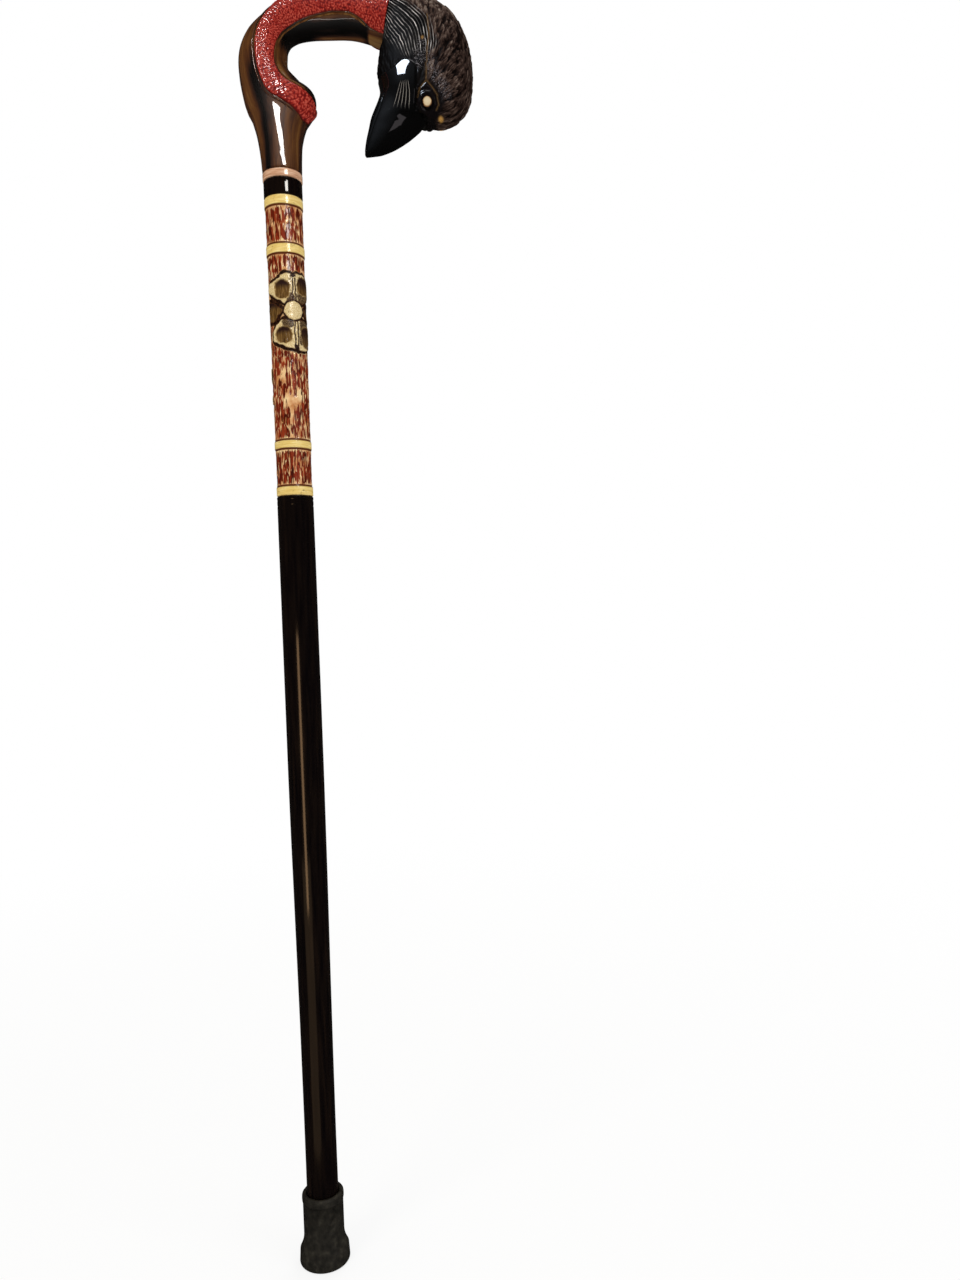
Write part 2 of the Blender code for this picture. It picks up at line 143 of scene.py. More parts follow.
def smoothThrough(rows, marks, places):  # a smooth curve through rows of values, read at path lengths
    slopes = np.empty_like(rows)
    slopes[1:-1] = (rows[2:] - rows[:-2]) / (marks[2:] - marks[:-2])[:, None]
    slopes[0] = (rows[1] - rows[0]) / (marks[1] - marks[0])
    slopes[-1] = (rows[-1] - rows[-2]) / (marks[-1] - marks[-2])
    low = np.clip(np.searchsorted(marks, places, side="right") - 1, 0, len(marks) - 2)
    span = (marks[low + 1] - marks[low])[:, None]
    k = (places[:, None] - marks[low][:, None]) / span
    start = (2 * k**3 - 3 * k**2 + 1) * rows[low] + (k**3 - 2 * k**2 + k) * span * slopes[low]
    return start + (3 * k**2 - 2 * k**3) * rows[low + 1] + (k**3 - k**2) * span * slopes[low + 1]


def gridNormals(points):  # unit normals of a grid whose columns close round
    along = np.gradient(points, axis=0)
    across = np.roll(points, -1, axis=1) - np.roll(points, 1, axis=1)
    normals = np.cross(across, along)
    normals /= np.maximum(np.linalg.norm(normals, axis=2), 1e-12)[:, :, None]
    outward = points - points.mean(axis=1)[:, None, :]
    flip = np.sign(np.sum(normals * outward, axis=(1, 2)))
    return normals * np.where(flip == 0, 1, flip)[:, None, None]


def gridFaces(rows, cols, wrapRows):
    index = np.arange(rows * cols).reshape(rows, cols)
    low = index if wrapRows else index[:-1]
    high = np.roll(index, -1, axis=0) if wrapRows else index[1:]
    corners = (low, np.roll(low, -1, axis=1), np.roll(high, -1, axis=1), high)
    return np.stack(corners, axis=2).reshape(-1, 4)


def addPiece(name, verts, faces, layers, material, slot, *nodes):  # verts in mm, layers as point values
    verts = np.asarray(verts, float) * mm
    corners = verts[np.array([face[:3] for face in faces])]
    if np.sum(np.einsum("ij,ij->i", corners[:, 0], np.cross(corners[:, 1], corners[:, 2]))) < 0:
        faces = [face[::-1] for face in faces]
    mesh = bpy.data.meshes.new(name)
    mesh.from_pydata(verts.tolist(), [], faces)
    for layer, values in layers.items():
        data = mesh.attributes.new(layer, "FLOAT", "POINT").data
        data.foreach_set("value", np.ravel(values).astype(np.float32))
    mesh.materials.append(material)
    mesh.shade_smooth()
    piece = bpy.data.objects.new(name, mesh)
    scene.collection.objects.link(piece)
    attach(piece, "root")
    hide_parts(*nodes)
    return piece


def gridPiece(name, points, layers, material, slot, *nodes, wrapRows=False):
    rows, cols = points.shape[:2]
    faces = gridFaces(rows, cols, wrapRows).tolist()
    if not wrapRows:
        faces.append(list(range(cols))[::-1])
        faces.append(list(range((rows - 1) * cols, rows * cols)))
    return addPiece(name, points.reshape(-1, 3), faces, layers, material, slot, *nodes)


def turnedPoints(heights, radii, sides):  # a grid of points round the shaft's axis
    turns = circle(sides)
    heights = np.broadcast_to(np.asarray(heights, float)[:, None], (len(heights), sides))
    if np.ndim(radii) < 2:
        radii = np.asarray(radii, float)[:, None]
    radii = np.broadcast_to(radii, heights.shape)
    return np.stack([radii * np.cos(turns), radii * np.sin(turns), heights], axis=2)


def roundedLoop(low, high, inner, outer, edge, steps=5):  # a ring's rounded section, as radius and height
    loop = []
    corners = ((inner, low, 180), (outer, low, 270), (outer, high, 0), (inner, high, 90))
    for x, z, start in corners:
        cx = x + (edge if x == inner else -edge)
        cz = z + (edge if z == low else -edge)
        for i in range(steps):
            turn = math.radians(start + 90 * i / (steps - 1))
            loop.append((cx + edge * math.cos(turn), cz + edge * math.sin(turn)))
    return loop


# Camera: at the height and slant of the photograph's, about 0.69 m from the cane

cameraSettings = {
    "place": (0.1218, -0.6757, 0.4647),
    "turns": (2.005, -1.911, 0.347),  # round X, Y and Z
    "lens": 27.0,
    "sensorHeight": 36.0,
}


def makeCamera(settings):
    camera = bpy.data.objects.new("photoCamera", bpy.data.cameras.new("photoCamera"))
    camera.data.sensor_fit = "VERTICAL"
    camera.data.sensor_height = settings["sensorHeight"]
    camera.data.lens = settings["lens"]
    turns = zip(settings["turns"], "XYZ")
    rx, ry, rz = [Matrix.Rotation(math.radians(turn), 3, axis) for turn, axis in turns]
    right, ahead, up = rz @ ry @ rx
    camera.matrix_world = Matrix((right, up, -ahead)).transposed().to_4x4()
    camera.location = settings["place"]
    scene.collection.objects.link(camera)
    scene.camera = camera


makeCamera(cameraSettings)
scene.view_settings.view_transform = "Standard"
cameraX, cameraY, _ = cameraSettings["place"]
frontTurn = math.degrees(math.atan2(cameraY, cameraX))  # the shaft's front faces the camera
print("camera placed")


# Studio: a pale floor, a white surround, soft lamps, and black cloth that only the gloss reflects

studioSettings = {
    "surround": 0.58,  # strength of the surround on matt surfaces
    "floorColour": "#f6f6f4",
    "floorRoughness": 0.9,
    "floorRadius": 3.0,
    "floorSides": 96,
    "floorHeight": -0.0002,  # a hair under the ferrule's foot
    "floorFade": (0.2, 1.3),  # metres from the foot over which the floor turns to the white surround
    "floorLift": 0.82,  # how far it has turned white at the foot
    "clothColour": "#262422",
    "clothRadius": 2.4,
    "clothHeights": (-0.001, 3.0),
    "clothSides": 48,
}
lampSettings = {  # aim, turn from the camera, rise, distance, width, height, watts, colour, what it lights
    "keyLamp": ((0.02, 0.0, 0.6), -46.0, 38.0, 1.6, 0.6, 0.6, 8.2, "#fff8ee", "diffuse"),
    "fillLamp": ((0.0, 0.0, 0.5), 48.0, 12.0, 1.7, 0.8, 1.2, 6.6, "#f2f5ff", "diffuse"),
    "backLamp": ((0.0, 0.0, 0.6), 150.0, 32.0, 1.7, 1.0, 1.0, 9.0, "#ffffff", "diffuse"),
    "topLamp": ((0.03, 0.0, 0.8), 20.0, 72.0, 1.5, 0.9, 0.5, 3.4, "#ffffff", "both"),
    "windowLamp": ((0.088, -0.019, 0.825), -50.0, 32.0, 1.3, 0.58, 0.5, 34.0, "#e4efff", "glossy"),
    "carvingLamp": ((0.0, 0.0, 0.7), 21.0, 24.0, 1.4, 0.34, 0.4, 11.0, "#fffaf2", "glossy"),
    "bandLamp": ((0.04, -0.02, 0.84), -46.0, 30.0, 1.3, 0.2, 0.2, 9.5, "#ffeeee", "glossy"),
    "glintLamp": ((0.02, -0.02, 0.84), -8.0, 36.0, 1.3, 0.15, 0.15, 6.5, "#ffeeee", "glossy"),
    "stripLamp": ((0.0, 0.0, 0.33), -22.0, 0.0, 0.14, 0.03, 0.23, 0.1, "#ffcb96", "glossy"),
    "footLamp": ((0.0, 0.0, 0.13), -24.0, 0.0, 0.14, 0.14, 0.25, 0.045, "#ffd2a0", "glossy"),
    "billLamp": ((0.085, -0.012, 0.79), 9.5, -16.0, 0.4, 0.13, 0.11, 0.042, "#f4e9ee", "glossy"),
}
softboxSettings = {  # hangs just off the neck; its mirror image is the wedge of light there
    "aim": (-0.002, -0.016, 0.79),
    "away": 0.06,
    "colour": "#fffaf4",
    "strength": 34.0,
    "corners": ((-27.2, 38), (-27.7, 30.3), (-26.6, 26.1), (-24, 23.5), (-21.2, 20), (-17.4, 16),
                (-13, 12.6), (-8.6, 8.5), (-4.8, 7), (-1.2, 6.8), (1.7, 6.4), (5.2, 5.3), (8, 3.5),
                (10.7, 0.9), (12, -1), (29, -1), (29.4, 1.5), (25.6, 4.5), (20.4, 6.1), (17.4, 6.9),
                (18.2, 8.3), (13.5, 11.6), (12.3, 13.2), (5.4, 16.3), (0.3, 19.5), (-3, 23),
                (-3.5, 25.5), (-3.2, 27.5), (-4, 30.3), (-11.3, 34.9), (-22.4, 38.4)),
}
glossPieces = {  # the pieces that show each glossy lamp
    "wedgeSoftbox": ("lacqueredCrookHandle",),
    "windowLamp": ("carvedRavenHead",),
    "bandLamp": ("redGripBand", "edgeBeadRight", "edgeBeadLeft"),
    "glintLamp": ("redGripBand",),
    "carvingLamp": ("carvedUpperShaft", "blackCollarRing", "paleCollarRing"),
    "stripLamp": ("lacqueredLowerShaft",),
    "footLamp": ("lacqueredLowerShaft",),
    "billLamp": ("carvedRavenHead",),
}


def seenWhite(tree):  # 1 for what the camera, a gloss or glass sees, 0 for light on matt surfaces
    rays = addNode(tree, "LightPath")
    seen = rays.outputs["Is Camera Ray"]
    for ray in ("Is Glossy Ray", "Is Transmission Ray"):
        seen = addNode(tree, "Math", {"operation": "MAXIMUM", 0: seen, 1: rays.outputs[ray]})
    return seen


def makeSurround(settings):
    world = bpy.data.worlds.new("surround")
    scene.world = world
    world.use_nodes = True
    tree = world.node_tree
    tree.nodes.clear()
    lit = addNode(tree, "Background", {"Color": "#ffffff", "Strength": settings["surround"]})
    white = addNode(tree, "Background", {"Color": "#ffffff", "Strength": 1.0})
    mixed = addNode(tree, "MixShader", {0: seenWhite(tree), 1: lit, 2: white})
    addNode(tree, "OutputWorld", {"Surface": mixed})


def towards(turn, rise):  # a direction, turned from the camera's side
    side, up = math.radians(frontTurn + turn), math.radians(rise)
    return Vector((math.cos(side) * math.cos(up), math.sin(side) * math.cos(up), math.sin(up)))


def makeLamps(lamps):
    for name, (aim, turn, rise, away, width, height, watts, colour, lights) in lamps.items():
        lamp = bpy.data.lights.new(name, "AREA")
        lamp.shape = "RECTANGLE"
        lamp.size = width
        lamp.size_y = height
        lamp.energy = watts
        lamp.color = hexColour(colour)[:3]
        out = towards(turn, rise)
        holder = bpy.data.objects.new(name, lamp)
        holder.matrix_world = out.to_track_quat("Z", "Y").to_matrix().to_4x4()
        holder.location = Vector(aim) + out * away
        holder.visible_camera = False
        holder.visible_glossy = lights != "diffuse"
        holder.visible_diffuse = lights != "glossy"
        scene.collection.objects.link(holder)


def stagePiece(name, verts, faces, material, unseenBy):
    mesh = bpy.data.meshes.new(name)
    mesh.from_pydata(verts, [], faces)
    mesh.materials.append(material)
    piece = bpy.data.objects.new(name, mesh)
    for ray in unseenBy:
        setattr(piece, "visible_" + ray, False)
    scene.collection.objects.link(piece)


def glowingCloth(name, colour, strength):
    made, tree, _ = newMaterial(name, {})
    glow = addNode(tree, "Emission", {"Color": colour, "Strength": strength})
    fillNode(tree.nodes["Material Output"], {"Surface": glow})
    return made


def makeSoftbox(settings):
    aim, away = Vector(settings["aim"]), settings["away"]
    verts = [aim + towards(turn, rise) * away for turn, rise in settings["corners"]]
    made = glowingCloth("softboxCloth", settings["colour"], settings["strength"])
    stagePiece("wedgeSoftbox", verts, [list(range(len(verts)))], made, ("camera", "diffuse", "shadow"))


def makeFloor(settings):
    made, tree, shader = newMaterial("paintedFloor", {
        "Base Color": settings["floorColour"],
        "Roughness": settings["floorRoughness"],
        "Specular IOR Level": 0.0,
    })
    place = addNode(tree, "NewGeometry").outputs["Position"]
    far = addNode(tree, "VectorMath", {"operation": "LENGTH", 0: place}).outputs["Value"]
    near, past = settings["floorFade"]
    fade = addNode(tree, "MapRange", {"interpolation_type": "SMOOTHSTEP", "Value": far, "From Min": near,
                                      "From Max": past, "To Min": settings["floorLift"]})
    share = addNode(tree, "Math", {"operation": "MULTIPLY", 0: seenWhite(tree), 1: fade})
    white = addNode(tree, "Emission", {"Color": "#ffffff", "Strength": 1.0})
    mixed = addNode(tree, "MixShader", {0: share, 1: shader, 2: white})
    fillNode(tree.nodes["Material Output"], {"Surface": mixed})
    sides = settings["floorSides"]
    rim = turnedPoints([settings["floorHeight"]], [settings["floorRadius"]], sides)[0]
    stagePiece("floor", rim.tolist(), [list(range(sides))], made, ("glossy",))


def makeBlackCloth(settings):  # hangs all round and lies under the cane, so that lacquer keeps its depth
    sides = settings["clothSides"]
    points = turnedPoints(settings["clothHeights"], [settings["clothRadius"]] * 2, sides)
    faces = gridFaces(2, sides, False).tolist() + [list(range(sides)), list(range(sides, 2 * sides))]
    made = glowingCloth("blackVelvet", settings["clothColour"], 1.0)
    stagePiece("blackCloth", points.reshape(-1, 3).tolist(), faces, made,
               ("camera", "diffuse", "shadow", "transmission", "volume_scatter"))


makeSurround(studioSettings)
makeLamps(lampSettings)
makeSoftbox(softboxSettings)
makeFloor(studioSettings)
makeBlackCloth(studioSettings)
print("studio lit")


# Carved upper shaft: beech turned, gouged in flakes, burnt, stained and varnished

carvedSettings = {
    "lowRadius": 12.5,
    "highRadius": 13.2,
    "rings": ((0.0, 6.6), (31.6, 37.9), (163.9, 171.1), (196.5, 203.5)),  # cream, up from the lower end
    "ringEase": 0.3,  # the rings' edges round down over this much to each side
    "fieldDepth": 0.4,  # the flaked fields lie this far below the rings
    "burntLine": 0.42,  # half width of the burnt grooves at the rings' edges
    "grooveDepth": 0.3,
    "wander": 0.12,  # how far those edges stray from true
    "toolMarks": 0.05,
    "endBevel": (0.4, 0.1),  # how far the first rows at each end draw in
    "step": 0.42,
    "sides": 196,
    "rowHeight": 4.4,  # the flakes stand in ragged rows that run into each other
    "flakeGap": 1.42,
    "flakeLength": (5.4, 10.0),
    "flakeWidth": (0.9, 1.9),
    "flakeShift": 1.7,  # how far a flake may stray up or down its row
    "flakeJitter": 0.45,  # and round the shaft
    "flakeLean": 0.1,
    "flakeStrength": (0.7, 1.0),
    "lowMargin": (0.2, 1.2),  # mm left free above a ring
    "highMargin": (0.2, 1.6),  # and below one
    "flakeDepth": 0.3,
    "fieldWidths": (1.2, 1.0, 1.0),  # the lowest field's flakes are broader
    "bare": 0.07,  # share of the flakes left out
    "paleBare": 0.86,  # and in the pale places, where the rest are narrower
    "paleWidth": 0.6,
    # pale places in the fields: mm round from the front, mm up from the lower end, half sizes
    "paleSpots": ((-7.5, 80.5, 4.2, 4.2), (0.5, 64.5, 6.4, 6.6), (6.0, 66.0, 2.6, 6.0),
                  (-0.3, 52.0, 2.6, 4.0), (-31.0, 47.0, 4.0, 5.0), (24.0, 60.0, 4.0, 5.0),
                  (33.0, 92.0, 4.0, 5.0), (22.0, 104.0, 4.0, 3.5), (1.5, 185.0, 2.6, 2.6),
                  (-22.0, 182.0, 3.0, 3.0), (-1.0, 9.0, 1.8, 2.6), (26.0, 18.0, 3.0, 3.0)),
    "seed": 11,
}
flowerSettings = {
    "centre": (4.2, 125.2),  # mm round from the front, mm up from the carved shaft's lower end
    "area": (27.0, 30.0),  # half sizes of the place it fills
    "disc": (6.5, 6.1),
    "relief": 0.45,
    "outline": 1.15,  # half width of the burnt outline
    "wobble": (0.35, 0.22),  # how far the hand strayed from it, slowly and quickly
    "petals": (  # outlines round the disc, mm from its centre
        ((-0.2, 6.3), (0.2, 16.0), (0.2, 25.0), (-6.0, 26.2), (-9.5, 23.8), (-12.5, 21.4),
         (-17.5, 20.6), (-21.0, 17.6), (-20.4, 12.8), (-13.6, 8.0), (-8.2, 4.8), (-5.4, 4.0)),
        ((-0.3, 6.3), (-0.3, 16.0), (0.0, 25.2), (7.0, 26.2), (11.0, 25.2), (15.4, 22.6),
         (18.2, 17.6), (17.4, 11.6), (12.4, 7.0), (7.6, 4.4), (5.2, 4.4)),
        ((1.2, -6.3), (1.6, -12.5), (2.0, -19.5), (1.8, -26.2), (-3.6, -26.4), (-8.0, -24.8),
         (-12.6, -23.0), (-16.8, -20.2), (-16.8, -14.2), (-14.4, -10.0), (-10.8, -7.2), (-6.0, -4.6)),
        ((0.8, -6.2), (1.2, -13.0), (1.4, -19.5), (1.4, -26.8), (8.6, -27.0), (14.0, -25.0),
         (18.0, -20.8), (18.6, -14.2), (15.6, -9.4), (11.6, -6.4), (6.4, -4.6)),
    ),
    "leaves": (
        ((-7.0, 0.8), (-10.8, 3.8), (-16.5, 7.6), (-21.0, 7.8), (-23.0, 0.4), (-20.4, -6.6),
         (-15.4, -8.0), (-10.6, -4.6)),
        ((7.0, 0.8), (10.8, 3.8), (16.0, 8.2), (20.6, 8.6), (22.6, 1.0), (20.0, -6.0), (15.4, -7.2),
         (10.8, -3.8)),
    ),
    "scoops": (  # centre, half sizes and lean of each gouged hollow
        (-7.7, 14.2, 5.2, 6.3, -6.0),
        (8.3, 17.6, 5.6, 6.0, -14.0),
        (-7.4, -16.6, 5.7, 5.2, 6.0),
        (10.8, -17.2, 5.8, 7.6, 8.0),
        (-15.4, 0.2, 6.6, 6.6, 0.0),
        (15.6, 0.8, 6.2, 6.2, 0.0),
    ),
    "scoopDepth": 1.0,
    "lineDepth": 0.3,
    # centres and half sizes of the brown washes, and the veins as lines
    "washes": ((9.8, 10.0, 8.4, 9.4), (15.0, 14.0, 5.6, 10.0), (-4.6, -8.6, 4.6, 4.4),
               (9.4, -10.0, 6.6, 9.4), (15.4, -14.0, 5.6, 10.0), (5.4, -19.0, 2.4, 5.0),
               (-1.9, 8.6, 3.2, 3.6), (7.0, 14.5, 4.6, 7.0)),
    "veins": (((-0.7, 6.0), (-0.4, 15.0), (-0.4, 25.4)), ((1.7, 6.0), (1.3, 15.0), (1.2, 22.0)),
              ((0.2, -6.0), (0.3, -14.0), (0.2, -26.4)), ((2.2, -6.0), (2.5, -14.0), (2.6, -26.4))),
}
spraySettings = {  # a second motif round the back: five leaves set in a star
    "centre": (-31.0, 78.0),
    "leaves": ((-6.5, 4.0, 4.4, 8.5, 38.0), (6.5, 4.0, 4.4, 8.5, -38.0), (0.0, 12.0, 4.2, 8.5, 0.0),
               (-5.6, -9.5, 4.0, 7.6, 125.0), (5.6, -9.5, 4.0, 7.6, -125.0)),
    "relief": 0.5,
}


def closedCurve(points, count=72):  # a smooth closed outline through a few points
    rows = np.array(points, float)
    looped = np.concatenate([rows[-2:], rows, rows[:3]])
    marks = marksOf(looped)
    return smoothThrough(looped, marks, np.linspace(marks[2], marks[-3], count, endpoint=False))


def distanceTo(line, x, y, closed=False):  # from each point to a line of straight runs
    line = np.asarray(line, float)
    ends = np.roll(line, -1, axis=0) if closed else line[1:]
    starts = line if closed else line[:-1]
    best = np.full(x.shape, 1e9)
    for (ax, ay), (bx, by) in zip(starts, ends):
        span = (bx - ax) ** 2 + (by - ay) ** 2 + 1e-12
        share = np.clip(((x - ax) * (bx - ax) + (y - ay) * (by - ay)) / span, 0, 1)
        best = np.minimum(best, np.hypot(x - ax - share * (bx - ax), y - ay - share * (by - ay)))
    return best


def insideOf(line, x, y):
    inside = np.zeros(x.shape, bool)
    for (ax, ay), (bx, by) in zip(line, np.roll(line, -1, axis=0)):
        crosses = (ay > y) != (by > y)
        inside ^= crosses & (x < (bx - ax) * (y - ay) / (by - ay + 1e-12) + ax)
    return inside


def leaned(x, y, cx, cy, lean):  # places across and up from a centre, along axes that lean over
    turn = math.radians(lean)
    across = (x - cx) * math.cos(turn) + (y - cy) * math.sin(turn)
    return across, (y - cy) * math.cos(turn) - (x - cx) * math.sin(turn)


def ovalAway(x, y, oval):  # 1 on the oval's edge, and the place up its height from -1 to 1
    cx, cy, rx, ry = oval[:4]
    gouged = len(oval) > 4  # the gouged hollows lean, and are squarer
    across, up = leaned(x, y, cx, cy, oval[4] if gouged else 0.0)
    power = 2.5 if gouged else 2.0
    return (np.abs(across / rx) ** power + np.abs(up / ry) ** power) ** (1 / power), up / ry


def carveFlakes(around, heights, girth, settings, keepOut):  # pointed gouge cuts, and each cut's own shade
    draw = np.random.default_rng(settings["seed"])
    cut = np.zeros((len(heights), len(around)))
    shade = np.zeros(cut.shape)
    rings = settings["rings"]
    places = np.arange(-girth / 2, girth / 2, settings["flakeGap"])
    for (_, low), (high, _), broad in zip(rings[:-1], rings[1:], settings["fieldWidths"]):
        count = round((high - low) / settings["rowHeight"])
        pitch = (high - low) / count
        for row, i in np.ndindex(count, len(places)):
            a = places[i] + draw.uniform(-1, 1) * settings["flakeJitter"]
            length = draw.uniform(*settings["flakeLength"])
            h = low + (row + 0.5) * pitch + draw.uniform(-1, 1) * settings["flakeShift"]
            h = max(h, low + length / 2 + draw.uniform(*settings["lowMargin"]))
            h = min(h, high - length / 2 - draw.uniform(*settings["highMargin"]))
            width = draw.uniform(*settings["flakeWidth"])
            lean = draw.uniform(-1, 1) * settings["flakeLean"]
            strength, own = draw.uniform(*settings["flakeStrength"]), draw.random()
            pale = any(ovalAway(a, h, spot)[0] < 1 for spot in settings["paleSpots"])
            if draw.random() < settings["paleBare" if pale else "bare"] or keepOut(a, h):
                continue
            width = width * (settings["paleWidth"] if pale else broad)
            rows = np.flatnonzero(np.abs(heights - h) < length / 2)
            t = (heights[rows] - h) / (length / 2)
            half = width / 2 * (1 - np.abs(t) ** 1.7) ** 0.8 + 0.02
            away = wrapped(around[None, :] - a - (lean * (heights[rows] - h))[:, None], girth)
            value = np.clip((half[:, None] - np.abs(away)) / 0.7 + 0.5, 0, strength)
            shade[rows] = np.where(value > cut[rows], own, shade[rows])
            cut[rows] = np.maximum(cut[rows], value)
    return cut, shade


def carveFlower(a, h, girth, settings):  # masks of the flower's parts, one of them painted shadow at the top of each hollow
    fx = wrapped(a - settings["centre"][0], girth)
    fy = h - settings["centre"][1]
    slow, quick = settings["wobble"]
    fx = fx + slow * softNoise(fx / 3, fy / 3, seed=51) + quick * softNoise(fx / 1.1, fy / 1.1, seed=55)
    fy = fy + slow * softNoise(fx / 3, fy / 3, seed=52) + quick * softNoise(fx / 1.1, fy / 1.1, seed=56)
    near = (np.abs(fx) < settings["area"][0]) & (np.abs(fy) < settings["area"][1])
    x, y = fx[near], fy[near]
    edge = np.full(x.shape, 9.0)
    petal, hollow, scoop, top, bowl, wash = np.zeros((6, *x.shape))
    for points in settings["petals"] + settings["leaves"]:
        line = closedCurve(points)
        away = distanceTo(line, x, y, closed=True)
        inward = np.where(insideOf(line, x, y), away, -away) / 0.9
        petal = np.maximum(petal, np.clip(inward + 0.5, 0, 1))
        middle = (np.abs(x - 0.9) < 2.4) & (np.abs(y) > 7)  # the petals meet here, along the veins
        edge = np.minimum(edge, np.where(middle & (np.abs(y) < 23), 9.0, away))
        if points in settings["leaves"]:  # these are gouged out whole
            hollow = np.maximum(hollow, np.clip(inward + 0.2, 0, 1))
    discAway, _ = ovalAway(x, y, (0, 0, *settings["disc"]))
    disc = np.clip((1 - discAway) * settings["disc"][0] / 0.9 + 0.5, 0, 1)
    edge = np.minimum(edge, np.abs(discAway - 1.12) * settings["disc"][0] + 0.35)
    for oval in settings["scoops"]:
        away, up = ovalAway(x, y, oval)
        away = away + 0.07 * softNoise(x / 1.0, y / 1.6, seed=57)
        inside = np.clip((1 - away) * oval[2] / 1.8 + 0.5, 0, 1)
        # painted shadow: the upper wall of each hollow
        top = np.where(inside > scoop, smoothStep(0.0 if oval[0] < 0 else -1.1, 0.75, up), top)
        scoop = np.maximum(scoop, inside)
        bowl = np.maximum(bowl, np.clip(1 - away**2, 0, 1) ** 0.5)
    bowl = np.maximum(bowl, 0.6 * hollow)
    scoop = np.maximum(scoop, hollow)
    for oval in settings["washes"]:
        wash = np.maximum(wash, smoothStep(1.1, 0.6, ovalAway(x, y, oval)[0]))
    vein = np.full(x.shape, 9.0)
    for line in settings["veins"]:
        vein = np.minimum(vein, distanceTo(line, x, y))
    width = settings["outline"] * (0.9 + 0.42 * softNoise(x / 2.2, y / 2.2, seed=53))
    outline = np.clip((width - edge) / 1.6 + 0.5, 0, 1)
    outline = np.maximum(outline, np.clip((0.4 - vein) / 0.95 + 0.5, 0, 1)) * (1 - disc)
    masks = {"petal": petal, "disc": disc, "scoop": scoop * (1 - disc), "scoopTop": top * scoop,
             "bowl": bowl * (1 - disc), "wash": wash, "outline": outline}
    found = {name: np.zeros(a.shape) for name in masks}
    for name, values in masks.items():
        found[name][near] = values
    return found


def carveSpray(a, h, girth, settings):  # masks of the leaves round the back and of their edges
    across = wrapped(a - settings["centre"][0], girth)
    up = h - settings["centre"][1]
    leaf = np.zeros(a.shape)
    edge = np.full(a.shape, 9.0)
    for cx, cy, rx, ry, lean in settings["leaves"]:
        x, y = leaned(across, up, cx, cy, lean)
        width = rx * np.clip(1 - (y / ry) ** 2, 0, 1) ** 0.7
        inside = np.where(np.abs(y) < ry, width - np.abs(x), -9.0)
        leaf = np.maximum(leaf, smoothStep(0.1, 1.0, inside) * (1 - 0.6 * np.exp(-(x / 0.5) ** 2)))
        edge = np.minimum(edge, np.abs(inside))
    return leaf, smoothStep(0.95, 0.3, edge)


def makeCarvedShaft(settings, flower, spray):
    low, high = [corner.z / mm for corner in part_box("upper_shaft_carved")]
    length = high - low
    heights = np.linspace(0, length, round(length / settings["step"]) + 1)
    turns = circle(settings["sides"])
    meanRadius = (settings["lowRadius"] + settings["highRadius"]) / 2
    girth = 2 * np.pi * meanRadius
    around = wrapped(turns - math.radians(frontTurn), 2 * np.pi) * meanRadius
    radius = settings["lowRadius"] + (settings["highRadius"] - settings["lowRadius"]) * heights / length
    a, h = np.meshgrid(around, heights)
    wander = settings["wander"] * softNoise(turns / (2 * np.pi) * 16, h / 20, seed=54, wrap=16)
    ring, groove, scored = np.zeros((3, *a.shape))
    ease = settings["ringEase"]
    for start, end in settings["rings"]:
        band = smoothStep(start - ease, start + ease, h) * smoothStep(end + ease, end - ease, h)
        ring = np.maximum(ring, band)
        for edge in (start, end):
            if 1 < edge < length - 1:
                away = h - edge + wander
                groove = np.maximum(groove, np.exp(-(away / settings["burntLine"]) ** 2))
                scored = np.maximum(scored, smoothStep(1.0, 0.5, np.abs(away)))
    field = 1 - ring
    parts = carveFlower(a, h, girth, flower)
    leaf, leafLine = carveSpray(a, h, girth, spray)
    whole = np.maximum.reduce([parts["petal"], parts["disc"], parts["outline"], leaf]) > 0.3

    def keepOut(pa, ph):  # no flakes on the flower and the leaves
        row = min(max(round(ph / length * (len(heights) - 1)), 0), len(heights) - 1)
        return bool(whole[row, int(np.argmin(np.abs(around - pa)))])

    cut, shade = carveFlakes(around, heights, girth, settings, keepOut)
    cut = cut * field * (1 - groove) * np.where(whole, 0, 1)
    line = np.maximum(parts["outline"], leafLine * field)
    rough = settings["toolMarks"] * softNoise(a / 0.9 + 20, h / 2.2, seed=3) * field
    striped = 0.8 + 0.2 * softNoise(a / 0.7 + 9, h / 5 + 9, seed=8)
    lift = rough - settings["fieldDepth"] * field - settings["grooveDepth"] * groove
    lift = lift - settings["flakeDepth"] * cut
    raised = np.maximum(parts["petal"] * 0.85, parts["disc"])
    lift = lift + (flower["relief"] + settings["fieldDepth"]) * raised
    lift = lift - flower["scoopDepth"] * parts["bowl"] * striped - flower["lineDepth"] * line
    lift = lift + spray["relief"] * leaf * field
    for i, bevel in enumerate(settings["endBevel"]):
        lift[[i, -1 - i]] -= bevel
    points = turnedPoints(heights + low, radius[:, None] + lift, settings["sides"])
    layers = {
        "ring": ring,
        "scored": scored,
        "burnt": np.clip(line, 0, 1),
        "flake": cut,
        "shade": shade,
        "flower": np.clip(np.maximum(parts["petal"], parts["disc"]) + leaf, 0, 1),
        "scoop": parts["scoop"],
        "wash": parts["wash"] * (1 - parts["disc"]) * parts["petal"],
        "scoopTop": parts["scoopTop"],
    }
    gridPiece("carvedUpperShaft", points, layers, carvedWood(), "burnt_carved_wood", "upper_shaft_carved")


